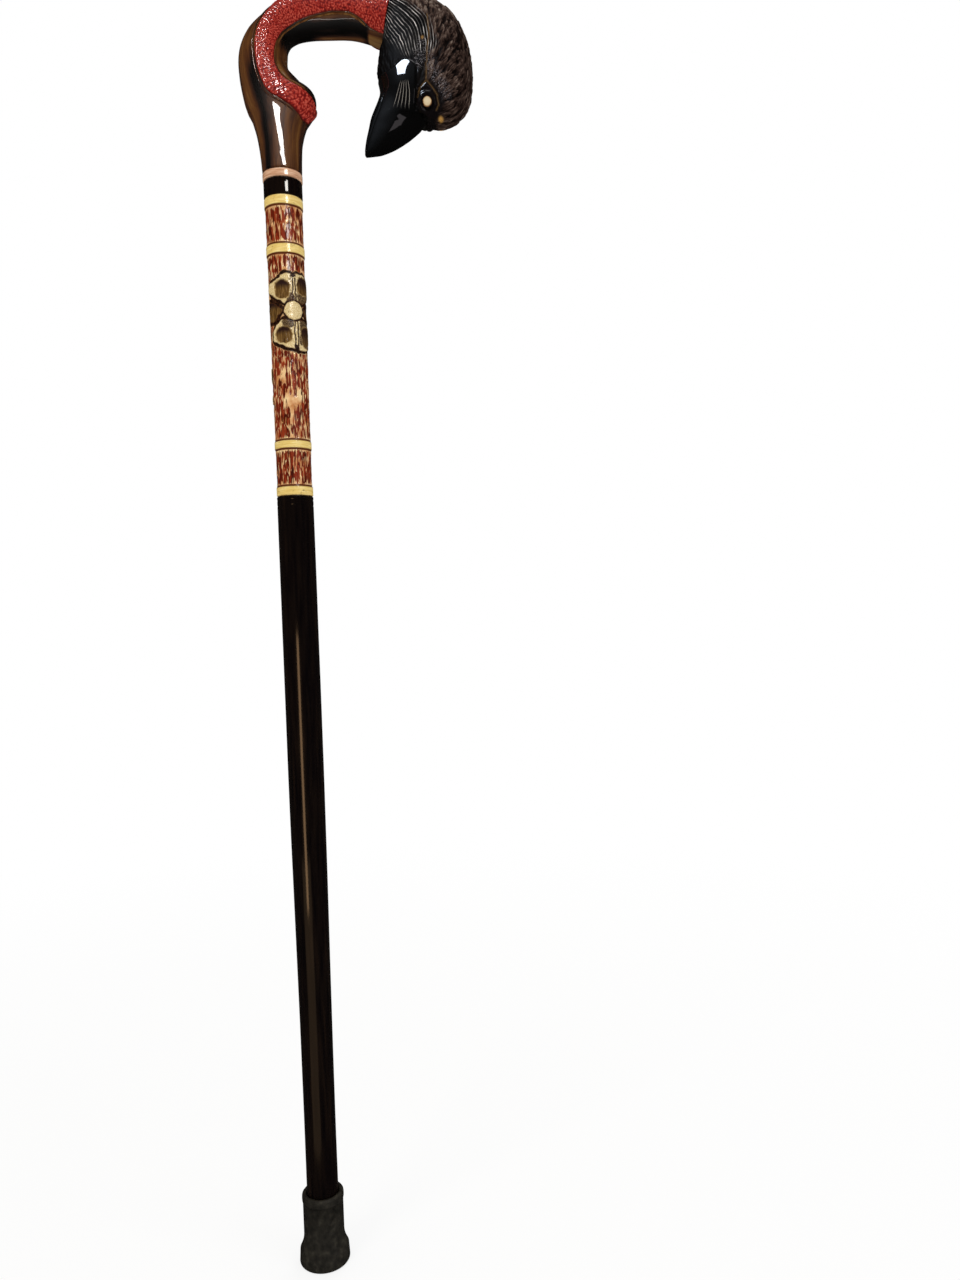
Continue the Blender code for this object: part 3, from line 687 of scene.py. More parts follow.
def carvedWood():  # beech under satin varnish: cream rings, red-brown stain, nearly black burns and painted shadow in the hollows
    made, tree, shader = newMaterial("varnishedCarvedBeech", {
        "Roughness": 0.4,
        "IOR": 1.5,
        "Specular IOR Level": 0.1,
        "Coat Roughness": 0.12,
    })
    names = ("ring", "scored", "burnt", "flake", "shade", "flower", "scoop", "scoopTop", "wash")
    soft = {name: addNode(tree, "Attribute", {"attribute_name": name}).outputs["Fac"] for name in names}
    layer = dict(soft)
    edges = (("scorched", "burnt", 0.12, 0.6), ("burnt", "burnt", 0.42, 0.72),
             ("flower", "flower", 0.3, 0.7), ("bruised", "scoop", 0.05, 0.5),
             ("scoop", "scoop", 0.42, 0.68), ("stained", "flake", 0.28, 0.52))
    for name, source, low, high in edges:  # crisper edges than the mesh's own, some with a toasted rim
        layer[name] = addNode(tree, "MapRange", {"Value": soft[source], "From Min": low, "From Max": high})
    place = addNode(tree, "TexCoord").outputs["Object"]
    patterns = (  # stretch, count to a millimetre, detail; beech's own fibres are too fine to show
        ("fibres", (1.0, 1.0, 0.12), 0.9, 4.0),  # drawn 1.1 mm apart, up the shaft
        ("turning", (0.12, 0.12, 1.0), 1.1, 3.0),  # the lathe's lines, drawn 0.9 mm apart
        ("slits", (1.0, 1.0, 0.17), 0.76, 1.0),  # 1.3 mm slits of bare wood where the stain missed
        ("mottle", (1.0, 1.0, 1.0), 0.42, 3.0),  # 2.4 mm patches of wash
        ("blotch", (1.0, 1.0, 1.0), 0.15, 3.0),  # 6.7 mm patches of pale and dark wood
        ("fine", (1.0, 1.0, 1.0), 1.3, 2.0),  # soot, drawn in 0.8 mm specks
    )
    grain = {}
    for name, stretch, perMm, detail in patterns:
        spot = addNode(tree, "Mapping", {"Vector": place, "Scale": stretch})
        grain[name] = addNode(tree, "TexNoise", {"Vector": spot, "Scale": perMm / mm, "Detail": detail})
    tone = addNode(tree, "Mix", {0: 0.5, 2: layer["shade"], 3: grain["fibres"]})
    mottle = addNode(tree, "Math", {"operation": "MULTIPLY_ADD", 0: layer["wash"], 1: 0.55,
                                    2: grain["mottle"]})
    washed = addNode(tree, "MapRange", {"Value": mottle, "From Min": 0.62, "From Max": 0.84,
                                        "To Max": 0.95})
    slits = addNode(tree, "MapRange", {"Value": grain["slits"], "From Min": 0.56, "From Max": 0.63,
                                       "To Min": 1.0, "To Max": 0.25})
    stained = addNode(tree, "Math", {"operation": "MULTIPLY", 0: layer["stained"], 1: slits})
    ramps = (
        ("bare", grain["blotch"], (0.35, "#c4824c"), (0.5, "#e6b47e"), (0.64, "#f4d29a")),
        ("stain", tone, (0.2, "#3c0c00"), (0.42, "#681a03"), (0.6, "#86290b"), (0.8, "#9c3e1c")),
        ("cream", grain["turning"], (0.3, "#debb66"), (0.5, "#eccd7a"), (0.7, "#f5dd98")),
        ("petal", grain["fine"], (0.3, "#c3a56c"), (0.5, "#dcc38c"), (0.7, "#ecd9ac")),
        ("brown", grain["fine"], (0.36, "#1f1007"), (0.5, "#412913"), (0.66, "#7c6242")),
        ("tan", grain["blotch"], (0.3, "#7d5c30"), (0.5, "#a98852"), (0.7, "#cdb27c")),
        ("hollow", grain["fibres"], (0.3, "#3f280c"), (0.5, "#66481f"), (0.7, "#8c6a3a")),
        ("char", grain["fine"], (0.4, "#120703"), (0.55, "#2c1409"), (0.7, "#553018")),
    )
    paint = {name: addNode(tree, "ValToRGB", {"stops": stops, 0: source}) for name, source, *stops in ramps}
    steps = (
        (stained, paint["stain"]),
        (layer["ring"], paint["cream"]),
        (layer["flower"], paint["petal"]),
        (washed, paint["brown"]),
        (layer["bruised"], paint["tan"]),
        (layer["scoop"], paint["hollow"]),
        # painted shadow at the top of each hollow
        (layer["scoopTop"], "#2a1612"),
        (layer["scored"], "#5a260a"),
        (layer["scorched"], "#4f2c12"),
        (layer["burnt"], paint["char"]),
    )
    colour = paint["bare"]
    for share, over in steps:
        colour = addNode(tree, "Mix", {"data_type": "RGBA", 0: share, 6: colour, 7: over}).outputs[2]
    dull = addNode(tree, "Math", {"operation": "MAXIMUM", 0: layer["scorched"], 1: washed})
    varnish = addNode(tree, "MapRange", {"Value": dull, "To Min": 0.5, "To Max": 0.06})
    bump = addNode(tree, "Bump", {"Height": grain["fibres"], "Strength": 0.3, "Distance": 0.4 * mm})
    fillNode(shader, {"Base Color": colour, "Coat Weight": varnish, "Normal": bump})
    return made


makeCarvedShaft(carvedSettings, flowerSettings, spraySettings)
print("upper shaft carved")


# Lower shaft: hardwood under black lacquer, tapered, with two scored lines under the carving

shaftSettings = {
    "footRadius": 11.1,
    "topRadius": 12.5,
    "taperStart": 90.0,  # above the lower end
    "taperLength": 270.0,
    "scores": (2.6, 6.4),  # below the upper end
    "scoreDepth": 0.25,
    "scoreWidth": 0.4,
    "chamfer": 0.5,
    "wave": 0.05,  # the lacquer's unevenness
    "roughness": 0.15,
    "sides": 128,
}


def makeLowerShaft(settings):
    low, high = [corner.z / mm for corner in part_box("lower_shaft")]
    closer = np.arange(high - 9.0, high - 0.4, 0.15)  # rows where the scored lines are
    heights = np.unique(np.concatenate([np.linspace(low, high, 220), closer]))
    taper = smoothStep(0, settings["taperLength"], heights - low - settings["taperStart"])
    radius = settings["footRadius"] + (settings["topRadius"] - settings["footRadius"]) * taper
    for below in settings["scores"]:
        away = heights - high + below
        radius = radius - settings["scoreDepth"] * np.exp(-(away / settings["scoreWidth"]) ** 2)
    ends = np.minimum(heights - low, high - heights)
    radius = radius - np.clip(settings["chamfer"] - ends, 0, None)
    turns = circle(settings["sides"]) / (2 * np.pi)
    wave = softNoise((turns * 6)[None, :], (heights / 45)[:, None], seed=21, wrap=6)
    lift = settings["wave"] * wave * (ends > 3)[:, None]
    points = turnedPoints(heights, radius[:, None] + lift, settings["sides"])
    made = blackLacquer("blackLacqueredBirch", settings["roughness"])
    gridPiece("lacqueredLowerShaft", points, {}, made, "black_lacquer", "lower_shaft")


def blackLacquer(name, roughness):  # near black with a hint of brown and a wet-looking gloss
    made, tree, shader = newMaterial(name, {"Roughness": roughness, "IOR": 1.45})
    place = addNode(tree, "TexCoord").outputs["Object"]
    stretched = addNode(tree, "Mapping", {"Vector": place, "Scale": (1.0, 1.0, 0.06)})
    # The wood's grain is too fine to show, and is drawn 2.4 mm wide
    grain = addNode(tree, "TexNoise", {"Vector": stretched, "Scale": 0.42 / mm, "Detail": 5.0})
    stops = ((0.35, "#060304"), (0.6, "#110a07"), (0.8, "#1d110a"))
    colour = addNode(tree, "ValToRGB", {"stops": stops, 0: grain})
    bump = addNode(tree, "Bump", {"Height": grain, "Strength": 0.06, "Distance": 0.3 * mm})
    fillNode(shader, {"Base Color": colour, "Normal": bump})
    return made


makeLowerShaft(shaftSettings)
print("lower shaft turned")


# Collar: a black lacquered ring and a pale varnished one

collarSettings = {
    "boreRadius": 5.3,
    "blackRadius": 13.2,
    "paleRadius": 13.6,
    "blackRoughness": 0.06,
    "edge": 0.7,
    "sides": 144,
}


def makeCollar(settings):
    black = blackLacquer("blackLacqueredRing", settings["blackRoughness"])
    rings = (
        ("blackCollarRing", "collar_ring_black", settings["blackRadius"], "black_ring_lacquer", black),
        ("paleCollarRing", "collar_ring_pale", settings["paleRadius"], "pale_ring_wood", paleWood()),
    )
    for name, node, radius, slot, made in rings:
        low, high = [corner.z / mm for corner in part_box(node)]
        radii, heights = zip(*roundedLoop(low, high, settings["boreRadius"], radius, settings["edge"]))
        points = turnedPoints(heights, radii, settings["sides"])
        gridPiece(name, points, {}, made, slot, node, wrapRows=True)


def paleWood():  # maple end grain under gloss varnish: pinkish tan with fine lines round it
    made, tree, shader = newMaterial("varnishedMaple", {
        "Roughness": 0.2,
        "IOR": 1.5,
        "Coat Weight": 0.6,
        "Coat Roughness": 0.09,
    })
    place = addNode(tree, "TexCoord").outputs["Object"]
    squeezed = addNode(tree, "Mapping", {"Vector": place, "Scale": (0.12, 0.12, 1.0)})
    # The lathe's lines are finer than 0.3 mm, and are drawn 1.1 mm apart
    lines = addNode(tree, "TexNoise", {"Vector": squeezed, "Scale": 0.9 / mm, "Detail": 4.0})
    stops = ((0.3, "#b07a58"), (0.5, "#d2a17e"), (0.7, "#e8c2a2"))
    fillNode(shader, {"Base Color": addNode(tree, "ValToRGB", {"stops": stops, 0: lines})})
    return made


makeCollar(collarSettings)
print("collar rings turned")


# Crook: its stations, shared by the handle, the red band and the raven's head

crookSettings = {
    "neckRadius": 13.6,
    "stations": (  # x and height above the base, then outer, inner and side half sizes
        (0.1, 11.0, 14.5, 13.9, 14.0),
        (0.2, 22.0, 16.0, 14.8, 15.0),
        (0.5, 33.0, 18.8, 18.0, 16.0),
        (0.3, 40.0, 20.6, 24.2, 16.6),
        (-0.8, 46.5, 21.6, 26.0, 16.8),
        (-3.6, 55.0, 21.4, 20.4, 16.8),
        (-7.4, 68.0, 19.6, 15.0, 16.4),
        (-8.8, 81.5, 17.6, 15.6, 16.2),
        (-7.0, 91.5, 13.5, 16.0, 16.0),
        (-1.5, 100.5, 8.0, 16.6, 16.0),
        (8.5, 107.2, 7.0, 17.6, 16.0),
        (21.0, 110.0, 11.6, 18.1, 16.0),
        (36.0, 110.2, 16.2, 18.0, 16.0),
        (52.0, 109.2, 16.8, 17.5, 16.4),
        (65.0, 107.2, 18.0, 18.4, 17.4),
        (78.5, 103.6, 20.0, 20.0, 18.4),
    ),
    "inset": 0.12,  # how far the surface stays inside the CAD's
    "wave": 0.1,  # the lacquer's unevenness
    "neckEdge": 0.5,  # how far the lower edge is rounded
    "grooveDepth": 0.35,  # beside the band
    "grooveWidth": 0.45,
    "grainRadius": 15.0,  # the grain is drawn as on a round bar of this radius
    "tone": 0.62,  # 0 for black, 1 for light brown: the wood's stain, before the painted reflection and shade below
    "clouds": 0.1,
    "drift": 5.0,  # degrees by which the streaks' edges stray
    "darkReflection": (59.0, 13.0, 0.5),  # painted reflection, a dark streak up the neck's side: degrees, width and how much darker
    "paintedRestShade": 0.3,  # painted shade: how much darker the wood is round the finger rest
    "stripReflectionTone": 0.6,  # a painted reflection along the middle under the arch
    "endTone": 0.9,  # at the head's joint
    "archDull": 0.9,  # how much of the gloss is missing under the arch
    "step": 0.5,
    "sides": 224,
}
bandSettings = {
    "edges": (  # path length, then the band's two edges as angles from the crook's outer side
        (33.4, 152, 181), (36, 130, 181), (39.5, 111, 181), (42.5, 100, 165), (45, 92, 150), (48, 85, 136),
        (52, 80, 125), (59, 78, 118), (67, 77, 120), (78, 78, 126), (92, 78, 134), (103, 74, 137),
        (108, 62, 137), (113, 38, 136), (118, -1, 134), (134, -1, 125), (147, -1, 118), (160, -1, 119),
        (168, -1, 128), (176, -1, 142), (184, -1, 146),
    ),
    "endSlant": 5.2,  # how much later the band's lower end begins on the far side
    "farTrim": 7.0,  # degrees by which the inner edge stands back on the far side of the arch
    "thickness": 1.4,
    "edge": 1.5,  # width over which the band's edge rounds down
    "stipple": 0.3,  # height of the stippling
    "foot": -1.0,  # the band's under side lies this far inside the crook's surface
    "cellsRound": 84,
    "cellLength": 1.3,
    "dotRadius": 0.62,  # of a cell
    "dotShare": 0.75,  # of the stippling's height; the rest is uneven paint
    "dotWander": 0.3,
    "endSoftness": 2.2,  # how much wider the edge rounds down at the lower end
    "step": 0.43,
    "sides": 244,
    "beadAway": 1.5,  # from the band's outer edge to the middle of the bead beside it
    "beadRadius": 0.55,
    "beadSides": 10,
    "beadThin": 6,  # steps over which each end of a bead thins
    "beadTonesAndHighlight": (0.45, 0.72),  # the outer bead's wood, and the inner bead's, paler as a painted highlight
    "outerBead": 37.0,  # path length from which the outer bead shows
    "innerBead": (46.0, 174.0),
}
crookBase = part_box("handle_crook")[0].z / mm
crookRows = np.array([(0.0, 0.0, *([crookSettings["neckRadius"]] * 3)), *crookSettings["stations"]])
crookMarks = marksOf(crookRows[:, :2])


def crookAt(places):  # the stations and the path's direction at path lengths
    rows = smoothThrough(crookRows, crookMarks, places)
    ahead = smoothThrough(crookRows, crookMarks, np.minimum(places + 0.1, crookMarks[-1]))
    behind = smoothThrough(crookRows, crookMarks, np.maximum(places - 0.1, 0.0))
    along = (ahead - behind)[:, :2]
    return rows, along / np.linalg.norm(along, axis=1)[:, None]


def crookPoints(places, angles, lift=0.0):  # surface points; angle 0 is the outer side, 180 the inner one
    rows, along = crookAt(places.ravel())
    cosine, sine = np.cos(np.radians(angles)).ravel(), np.sin(np.radians(angles)).ravel()
    raised = np.broadcast_to(lift, places.shape).ravel()
    reach = (np.where(cosine > 0, rows[:, 2], rows[:, 3]) + raised) * cosine
    x = rows[:, 0] - along[:, 1] * reach
    z = rows[:, 1] + along[:, 0] * reach + crookBase
    y = -(rows[:, 4] + raised) * sine
    return np.stack([x, y, z], axis=1).reshape(*places.shape, 3)


def bandEdges(settings):  # the band's edges as smooth curves over path length, for each side
    table = np.array(settings["edges"], float)
    places = np.arange(table[0, 0], crookMarks[-1] + 0.01, 0.25)
    reach = 14  # steps to each side over which corners are smoothed
    window = np.exp(-(np.arange(-reach, reach + 1) / 8.0) ** 2)
    window /= window.sum()
    edges = []
    for column in (1, 2):
        raw = np.interp(places, table[:, 0], table[:, column])
        edges.append(np.convolve(np.pad(raw, reach, mode="edge"), window, mode="valid"))
    first, last = edges
    trimmed = last - settings["farTrim"] * smoothStep(92, 104, places) * smoothStep(178, 164, places)
    return places, {1: (first, last), -1: (first, trimmed)}


def bandStart(settings, angles):  # path length at which the band's lower end begins
    return settings["edges"][0][0] + settings["endSlant"] * smoothStep(172, 198, angles % 360)


def bandRim(settings):  # the band's whole edge, as path lengths and angles
    places, edges = bandEdges(settings)
    rim = []
    for side, (first, last) in edges.items():
        for edge, shown in ((first, first > 0), (last, last < 180)):
            rim.append(np.stack([places[shown], side * edge[shown]], axis=1))
    start = edges[1][0][0]
    angles = np.arange(start, 360 - start, 0.8)
    rim.append(np.stack([bandStart(settings, angles), angles], axis=1))
    return np.concatenate(rim)


def bandDepth(settings, places, angles, points):  # depth inside the band, and its nearest edge
    rim = bandRim(settings)
    tree = KDTree(len(rim))
    for i, point in enumerate(crookPoints(rim[:, 0], rim[:, 1])):
        tree.insert(point, i)
    tree.balance()
    found = [tree.find(point) for point in points.reshape(-1, 3)]
    away = np.array([hit[2] for hit in found]).reshape(places.shape)
    nearest = rim[np.array([hit[1] for hit in found])].reshape(*places.shape, 2)
    marks, edges = bandEdges(settings)
    low, high = [[np.interp(places, marks, edges[side][i]) for side in (1, -1)] for i in (0, 1)]
    nearSide = angles % 360 < 180
    fold = folded(angles)
    within = (fold >= np.where(nearSide, *low)) & (fold <= np.where(nearSide, *high))
    within &= places >= bandStart(settings, angles)
    return np.where(within, away, -away), nearest


def surfaceGrid(settings, start=0.0):  # path lengths and angles all over the crook
    rows = round((crookMarks[-1] - start) / settings["step"]) + 1
    angles = np.arange(settings["sides"]) * 360 / settings["sides"]
    return np.meshgrid(np.linspace(start, crookMarks[-1], rows), angles, indexing="ij")


def makeHandle(settings, band):
    places, angles = surfaceGrid(settings)
    depth, _ = bandDepth(band, places, angles, crookPoints(places, angles))
    wave = softNoise(angles / 360 * 8, places / 24, seed=31, wrap=8) * smoothStep(50, 70, places)
    groove = np.exp(-((depth + 0.3) / settings["grooveWidth"]) ** 2)
    lift = settings["wave"] * wave - settings["grooveDepth"] * groove
    lift = lift - settings["neckEdge"] * smoothStep(1.0, 0.0, places) - settings["inset"]
    dull = settings["archDull"] * smoothStep(96, 120, places) * smoothStep(112, 128, folded(angles))
    layers = {
        "tone": handleTone(settings, places, angles),
        "gloss": 1 - dull,
        "grainX": settings["grainRadius"] * np.cos(np.radians(angles)),
        "grainY": settings["grainRadius"] * np.sin(np.radians(angles)),
        "grainZ": places,
    }
    points = crookPoints(places, angles, lift)
    made = brownLacquer()
    gridPiece("lacqueredCrookHandle", points, layers, made, "brown_lacquered_wood", "handle_crook")


def handleTone(settings, places, angles):  # the stained wood's tone with painted shade and reflections: millimetres along the crook, degrees from its outer side
    turn = angles % 360
    drift = settings["drift"] * softNoise(turn / 360 * 12, places / 9, seed=33, wrap=12)
    fold = folded(angles)
    loose = fold + drift
    clouds = softNoise(turn / 360 * 10, places / 30, seed=34, wrap=10)
    tone = settings["tone"] + settings["clouds"] * clouds
    # painted reflection: a dark streak up the neck's side
    start, width, darker = settings["darkReflection"]
    darkReflection = np.exp(-((fold + drift * 0.6 - start - places / 8) / width) ** 2)
    tone = tone - darker * darkReflection * smoothStep(86, 64, places)
    # painted shade: the inner side of the neck darker up to the finger rest, and the finger rest's sides
    tone = tone - settings["paintedRestShade"] * smoothStep(146, 160, loose) * smoothStep(62, 50, places)
    fingerRest = smoothStep(38, 44, places) * smoothStep(64, 56, places)
    tone = tone - settings["paintedRestShade"] * smoothStep(128, 142, loose) * fingerRest
    # painted shade: black under the arch, with a painted reflection in a brown strip along its middle, and
    # a light end at the head's joint
    archShade = smoothStep(76, 94, places + 0.5 * drift) * smoothStep(177, 172, places)
    tone = tone * (1 - smoothStep(126, 142, loose) * archShade)
    # painted reflection: a lighter brown strip under the arch
    reflectedStrip = smoothStep(164, 182, turn) * smoothStep(232, 216, turn) * smoothStep(126, 142, places)
    tone = np.maximum(tone, settings["stripReflectionTone"] * reflectedStrip * smoothStep(176, 168, places))
    end = smoothStep(173, 176, places) * smoothStep(150, 160, fold)
    return np.maximum(tone, settings["endTone"] * end)


def brownLacquer():  # stained hardwood under many coats: brown streaks down the grain and a hard gloss
    made, tree, shader = newMaterial("brownLacqueredHardwood", {
        "Roughness": 0.55,
        "IOR": 1.5,
        "Specular IOR Level": 0.15,  # stained wood under the lacquer, which is the coat
        "Coat Roughness": 0.03,
    })
    names = ("tone", "gloss", "grainX", "grainY", "grainZ")
    layer = {name: addNode(tree, "Attribute", {"attribute_name": name}).outputs["Fac"] for name in names}
    along = addNode(tree, "Math", {"operation": "MULTIPLY", 0: layer["grainZ"], 1: 0.09})
    # The grain's own coordinates are in millimetres: streaks 3.3 mm wide, and pores drawn 0.5 mm wide
    place = addNode(tree, "CombineXYZ", {"X": layer["grainX"], "Y": layer["grainY"], "Z": along})
    grain = addNode(tree, "TexNoise", {"Vector": place, "Scale": 0.3, "Detail": 7.0, "Distortion": 0.3})
    pores = addNode(tree, "TexNoise", {"Vector": place, "Scale": 1.9, "Detail": 2.0})
    tone = layer["tone"]
    for source, low, high, start, end in ((grain, 0.3, 0.7, -0.2, 0.2), (pores, 0.55, 0.75, 0.0, -0.14)):
        change = addNode(tree, "MapRange", {"Value": source, "From Min": low, "From Max": high,
                                            "To Min": start, "To Max": end})
        tone = addNode(tree, "Math", {"operation": "ADD", 0: tone, 1: change})
    stops = ((0.08, "#080302"), (0.28, "#271309"), (0.5, "#47240b"), (0.68, "#623a14"), (0.95, "#85602f"))
    colour = addNode(tree, "ValToRGB", {"stops": stops, 0: tone})
    fillNode(shader, {"Base Color": colour, "Coat Weight": layer["gloss"]})
    return made


def makeBand(settings):
    places, angles = surfaceGrid(settings, settings["edges"][0][0] - 2.0)
    depth, nearest = bandDepth(settings, places, angles, crookPoints(places, angles))
    rows, cols = places.shape
    count = rows * cols
    inside = depth > 0.05
    faces = gridFaces(rows, cols, False)
    kept = faces[np.any(inside.ravel()[faces], axis=1)]
    places = np.where(inside, places, nearest[:, :, 0])  # the outermost points go onto the rim
    angles = np.where(inside, angles, nearest[:, :, 1]) % 360
    depth = np.maximum(depth, 0)
    x, y = angles / 360 * settings["cellsRound"], places / settings["cellLength"]
    x, y = [value + settings["dotWander"] * softNoise(x / 2, y / 2, seed=seed, wrap=30)
            for value, seed in ((x, 42), (y, 43))]
    away = pebbles(x, y, 41, settings["cellsRound"])
    dots = np.clip(1 - (away / settings["dotRadius"]) ** 2, 0, 1)
    share = settings["dotShare"]
    lumps = share * dots + (1 - share) * (softNoise(x * 2, y * 2, seed=44, wrap=30) + 1)
    lowerEnd = smoothStep(9, 2, places - bandStart(settings, angles))  # the edge is softer there
    slope = settings["edge"] + settings["endSoftness"] * lowerEnd
    dome = np.sqrt(1 - (1 - np.clip(depth / slope, 0, 1)) ** 2)
    lift = (settings["thickness"] - settings["stipple"]) * dome
    lift = lift + 0.9 * settings["stipple"] * lumps * smoothStep(0.4, 1.8, depth)
    top = crookPoints(places, angles, lift)
    under = crookPoints(places, angles, settings["foot"])
    rim = openEdges(kept)
    wall = np.stack([rim[:, 1], rim[:, 0], rim[:, 0] + count, rim[:, 1] + count], axis=1)
    everything = np.concatenate([kept, kept[:, ::-1] + count, wall])
    used, flat = np.unique(everything, return_inverse=True)
    verts = np.concatenate([top.reshape(-1, 3), under.reshape(-1, 3)])[used]
    layers = {
        "lump": np.concatenate([np.ravel(lumps), np.zeros(count)])[used],
        # painted shade along the band's rounded edges, and on its under side
        "edge": np.concatenate([smoothStep(0.9, 0.2, depth).ravel(), np.ones(count)])[used],
    }
    faces = flat.reshape(everything.shape).tolist()
    addPiece("redGripBand", verts, faces, layers, redEnamel(), "red_stippled_grip", "grip_band")
    makeBeads(settings)


def openEdges(faces):  # the edges that only one face has, in that face's order
    pairs = np.concatenate([faces[:, [i, (i + 1) % 4]] for i in range(4)])
    keys = np.sort(pairs, axis=1)
    _, first, counts = np.unique(keys, axis=0, return_index=True, return_counts=True)
    return pairs[first[counts == 1]]


def makeBeads(settings):  # fine raised lines that follow the band's outer and inner edges on both sides
    places, edges = bandEdges(settings)
    outer, inner = edges[1]
    onOuter = (places > settings["outerBead"]) & (outer > 2)
    onInner = (places > settings["innerBead"][0]) & (places < settings["innerBead"][1])
    outerTone, innerHighlightTone = settings["beadTonesAndHighlight"]
    lines = (  # side, edge, degrees towards the band, where it shows, tone of the wood (the inner beads' paler as a painted highlight)
        ("edgeBeadRight", 1, outer, 1.0, onOuter, outerTone),
        ("edgeBeadLeft", -1, outer, 1.0, onOuter, outerTone),
        ("innerBeadRight", 1, inner, -1.0, onInner, innerHighlightTone),
        ("innerBeadLeft", -1, edges[-1][1], -1.0, onInner, innerHighlightTone),
    )
    made = bpy.data.materials["brownLacqueredHardwood"]
    for name, side, edge, step, shown, tone in lines:
        path = crookPoints(places[shown], side * edge[shown])
        inward = crookPoints(places[shown], side * (edge[shown] + step)) - path
        along = np.gradient(path, axis=0)
        along /= np.linalg.norm(along, axis=1)[:, None]
        out = np.cross(along, inward)
        out /= np.linalg.norm(out, axis=1)[:, None]
        middle = crookAt(places[shown])[0]
        outward = path - np.stack([middle[:, 0], np.zeros(len(path)), middle[:, 1] + crookBase], axis=1)
        out *= np.sign(np.sum(out * outward, axis=1))[:, None]
        across = np.cross(out, along)
        across *= -np.sign(np.sum(across * inward, axis=1))[:, None]
        line = path + across * settings["beadAway"] - out * 0.1
        turns = circle(settings["beadSides"])[None, :, None]
        count = np.arange(len(path))
        thin = np.minimum(1, np.minimum(count, count[::-1]) / settings["beadThin"] + 0.1)
        radius = settings["beadRadius"] * thin[:, None, None]
        ring = (out[:, None] * np.cos(turns) + across[:, None] * np.sin(turns)) * radius
        points = (line[:, None] + ring)[::2]
        layers = {"tone": np.full(points.shape[:2], tone), "gloss": np.ones(points.shape[:2])}
        for i, layer in enumerate(("grainX", "grainY", "grainZ")):
            layers[layer] = points[:, :, i]
        gridPiece(name, points, layers, made, "brown_lacquered_wood")


def redEnamel():  # red enamel over stippled carving: painted shade in the pits and on the rounded edges, pinkish painted light on the tops
    made, tree, shader = newMaterial("redEnamelStipple", {
        "Roughness": 0.42,
        "IOR": 1.5,
        "Specular IOR Level": 0.08,
        "Coat Weight": 0.55,
        "Coat Roughness": 0.06,
    })
    place = addNode(tree, "TexCoord").outputs["Object"]
    names = ("lump", "edge")
    layer = {name: addNode(tree, "Attribute", {"attribute_name": name}).outputs["Fac"] for name in names}
    # Grit of 0.7 mm in the paint, and wear in patches 11 mm wide
    fine = addNode(tree, "TexNoise", {"Vector": place, "Scale": 1.5 / mm, "Detail": 3.0})
    patch = addNode(tree, "TexNoise", {"Vector": place, "Scale": 0.09 / mm, "Detail": 3.0})
    mixed = addNode(tree, "Mix", {0: 0.4, 2: fine, 3: patch})
    # painted shade and light: the stipple's pits darker, its tops lighter
    tone = addNode(tree, "Mix", {0: 0.55, 2: mixed, 3: layer["lump"]})
    stops = ((0.2, "#42060a"), (0.42, "#73110e"), (0.6, "#98241a"), (0.78, "#c05040"))
    colour = addNode(tree, "ValToRGB", {"stops": stops, 0: tone})
    # painted shade: the band darker along its rounded edges
    shadedEdge = addNode(tree, "Mix", {"data_type": "RGBA", 0: layer["edge"], 6: colour, 7: "#540d07"})
    bump = addNode(tree, "Bump", {"Height": fine, "Strength": 0.35, "Distance": 0.4 * mm})
    fillNode(shader, {"Base Color": shadedEdge.outputs[2], "Normal": bump})
    return made


makeHandle(crookSettings, bandSettings)
makeBand(bandSettings)
print("crook and band made")


# Raven's head: carved from one block, stained dark, the bill lacquered black

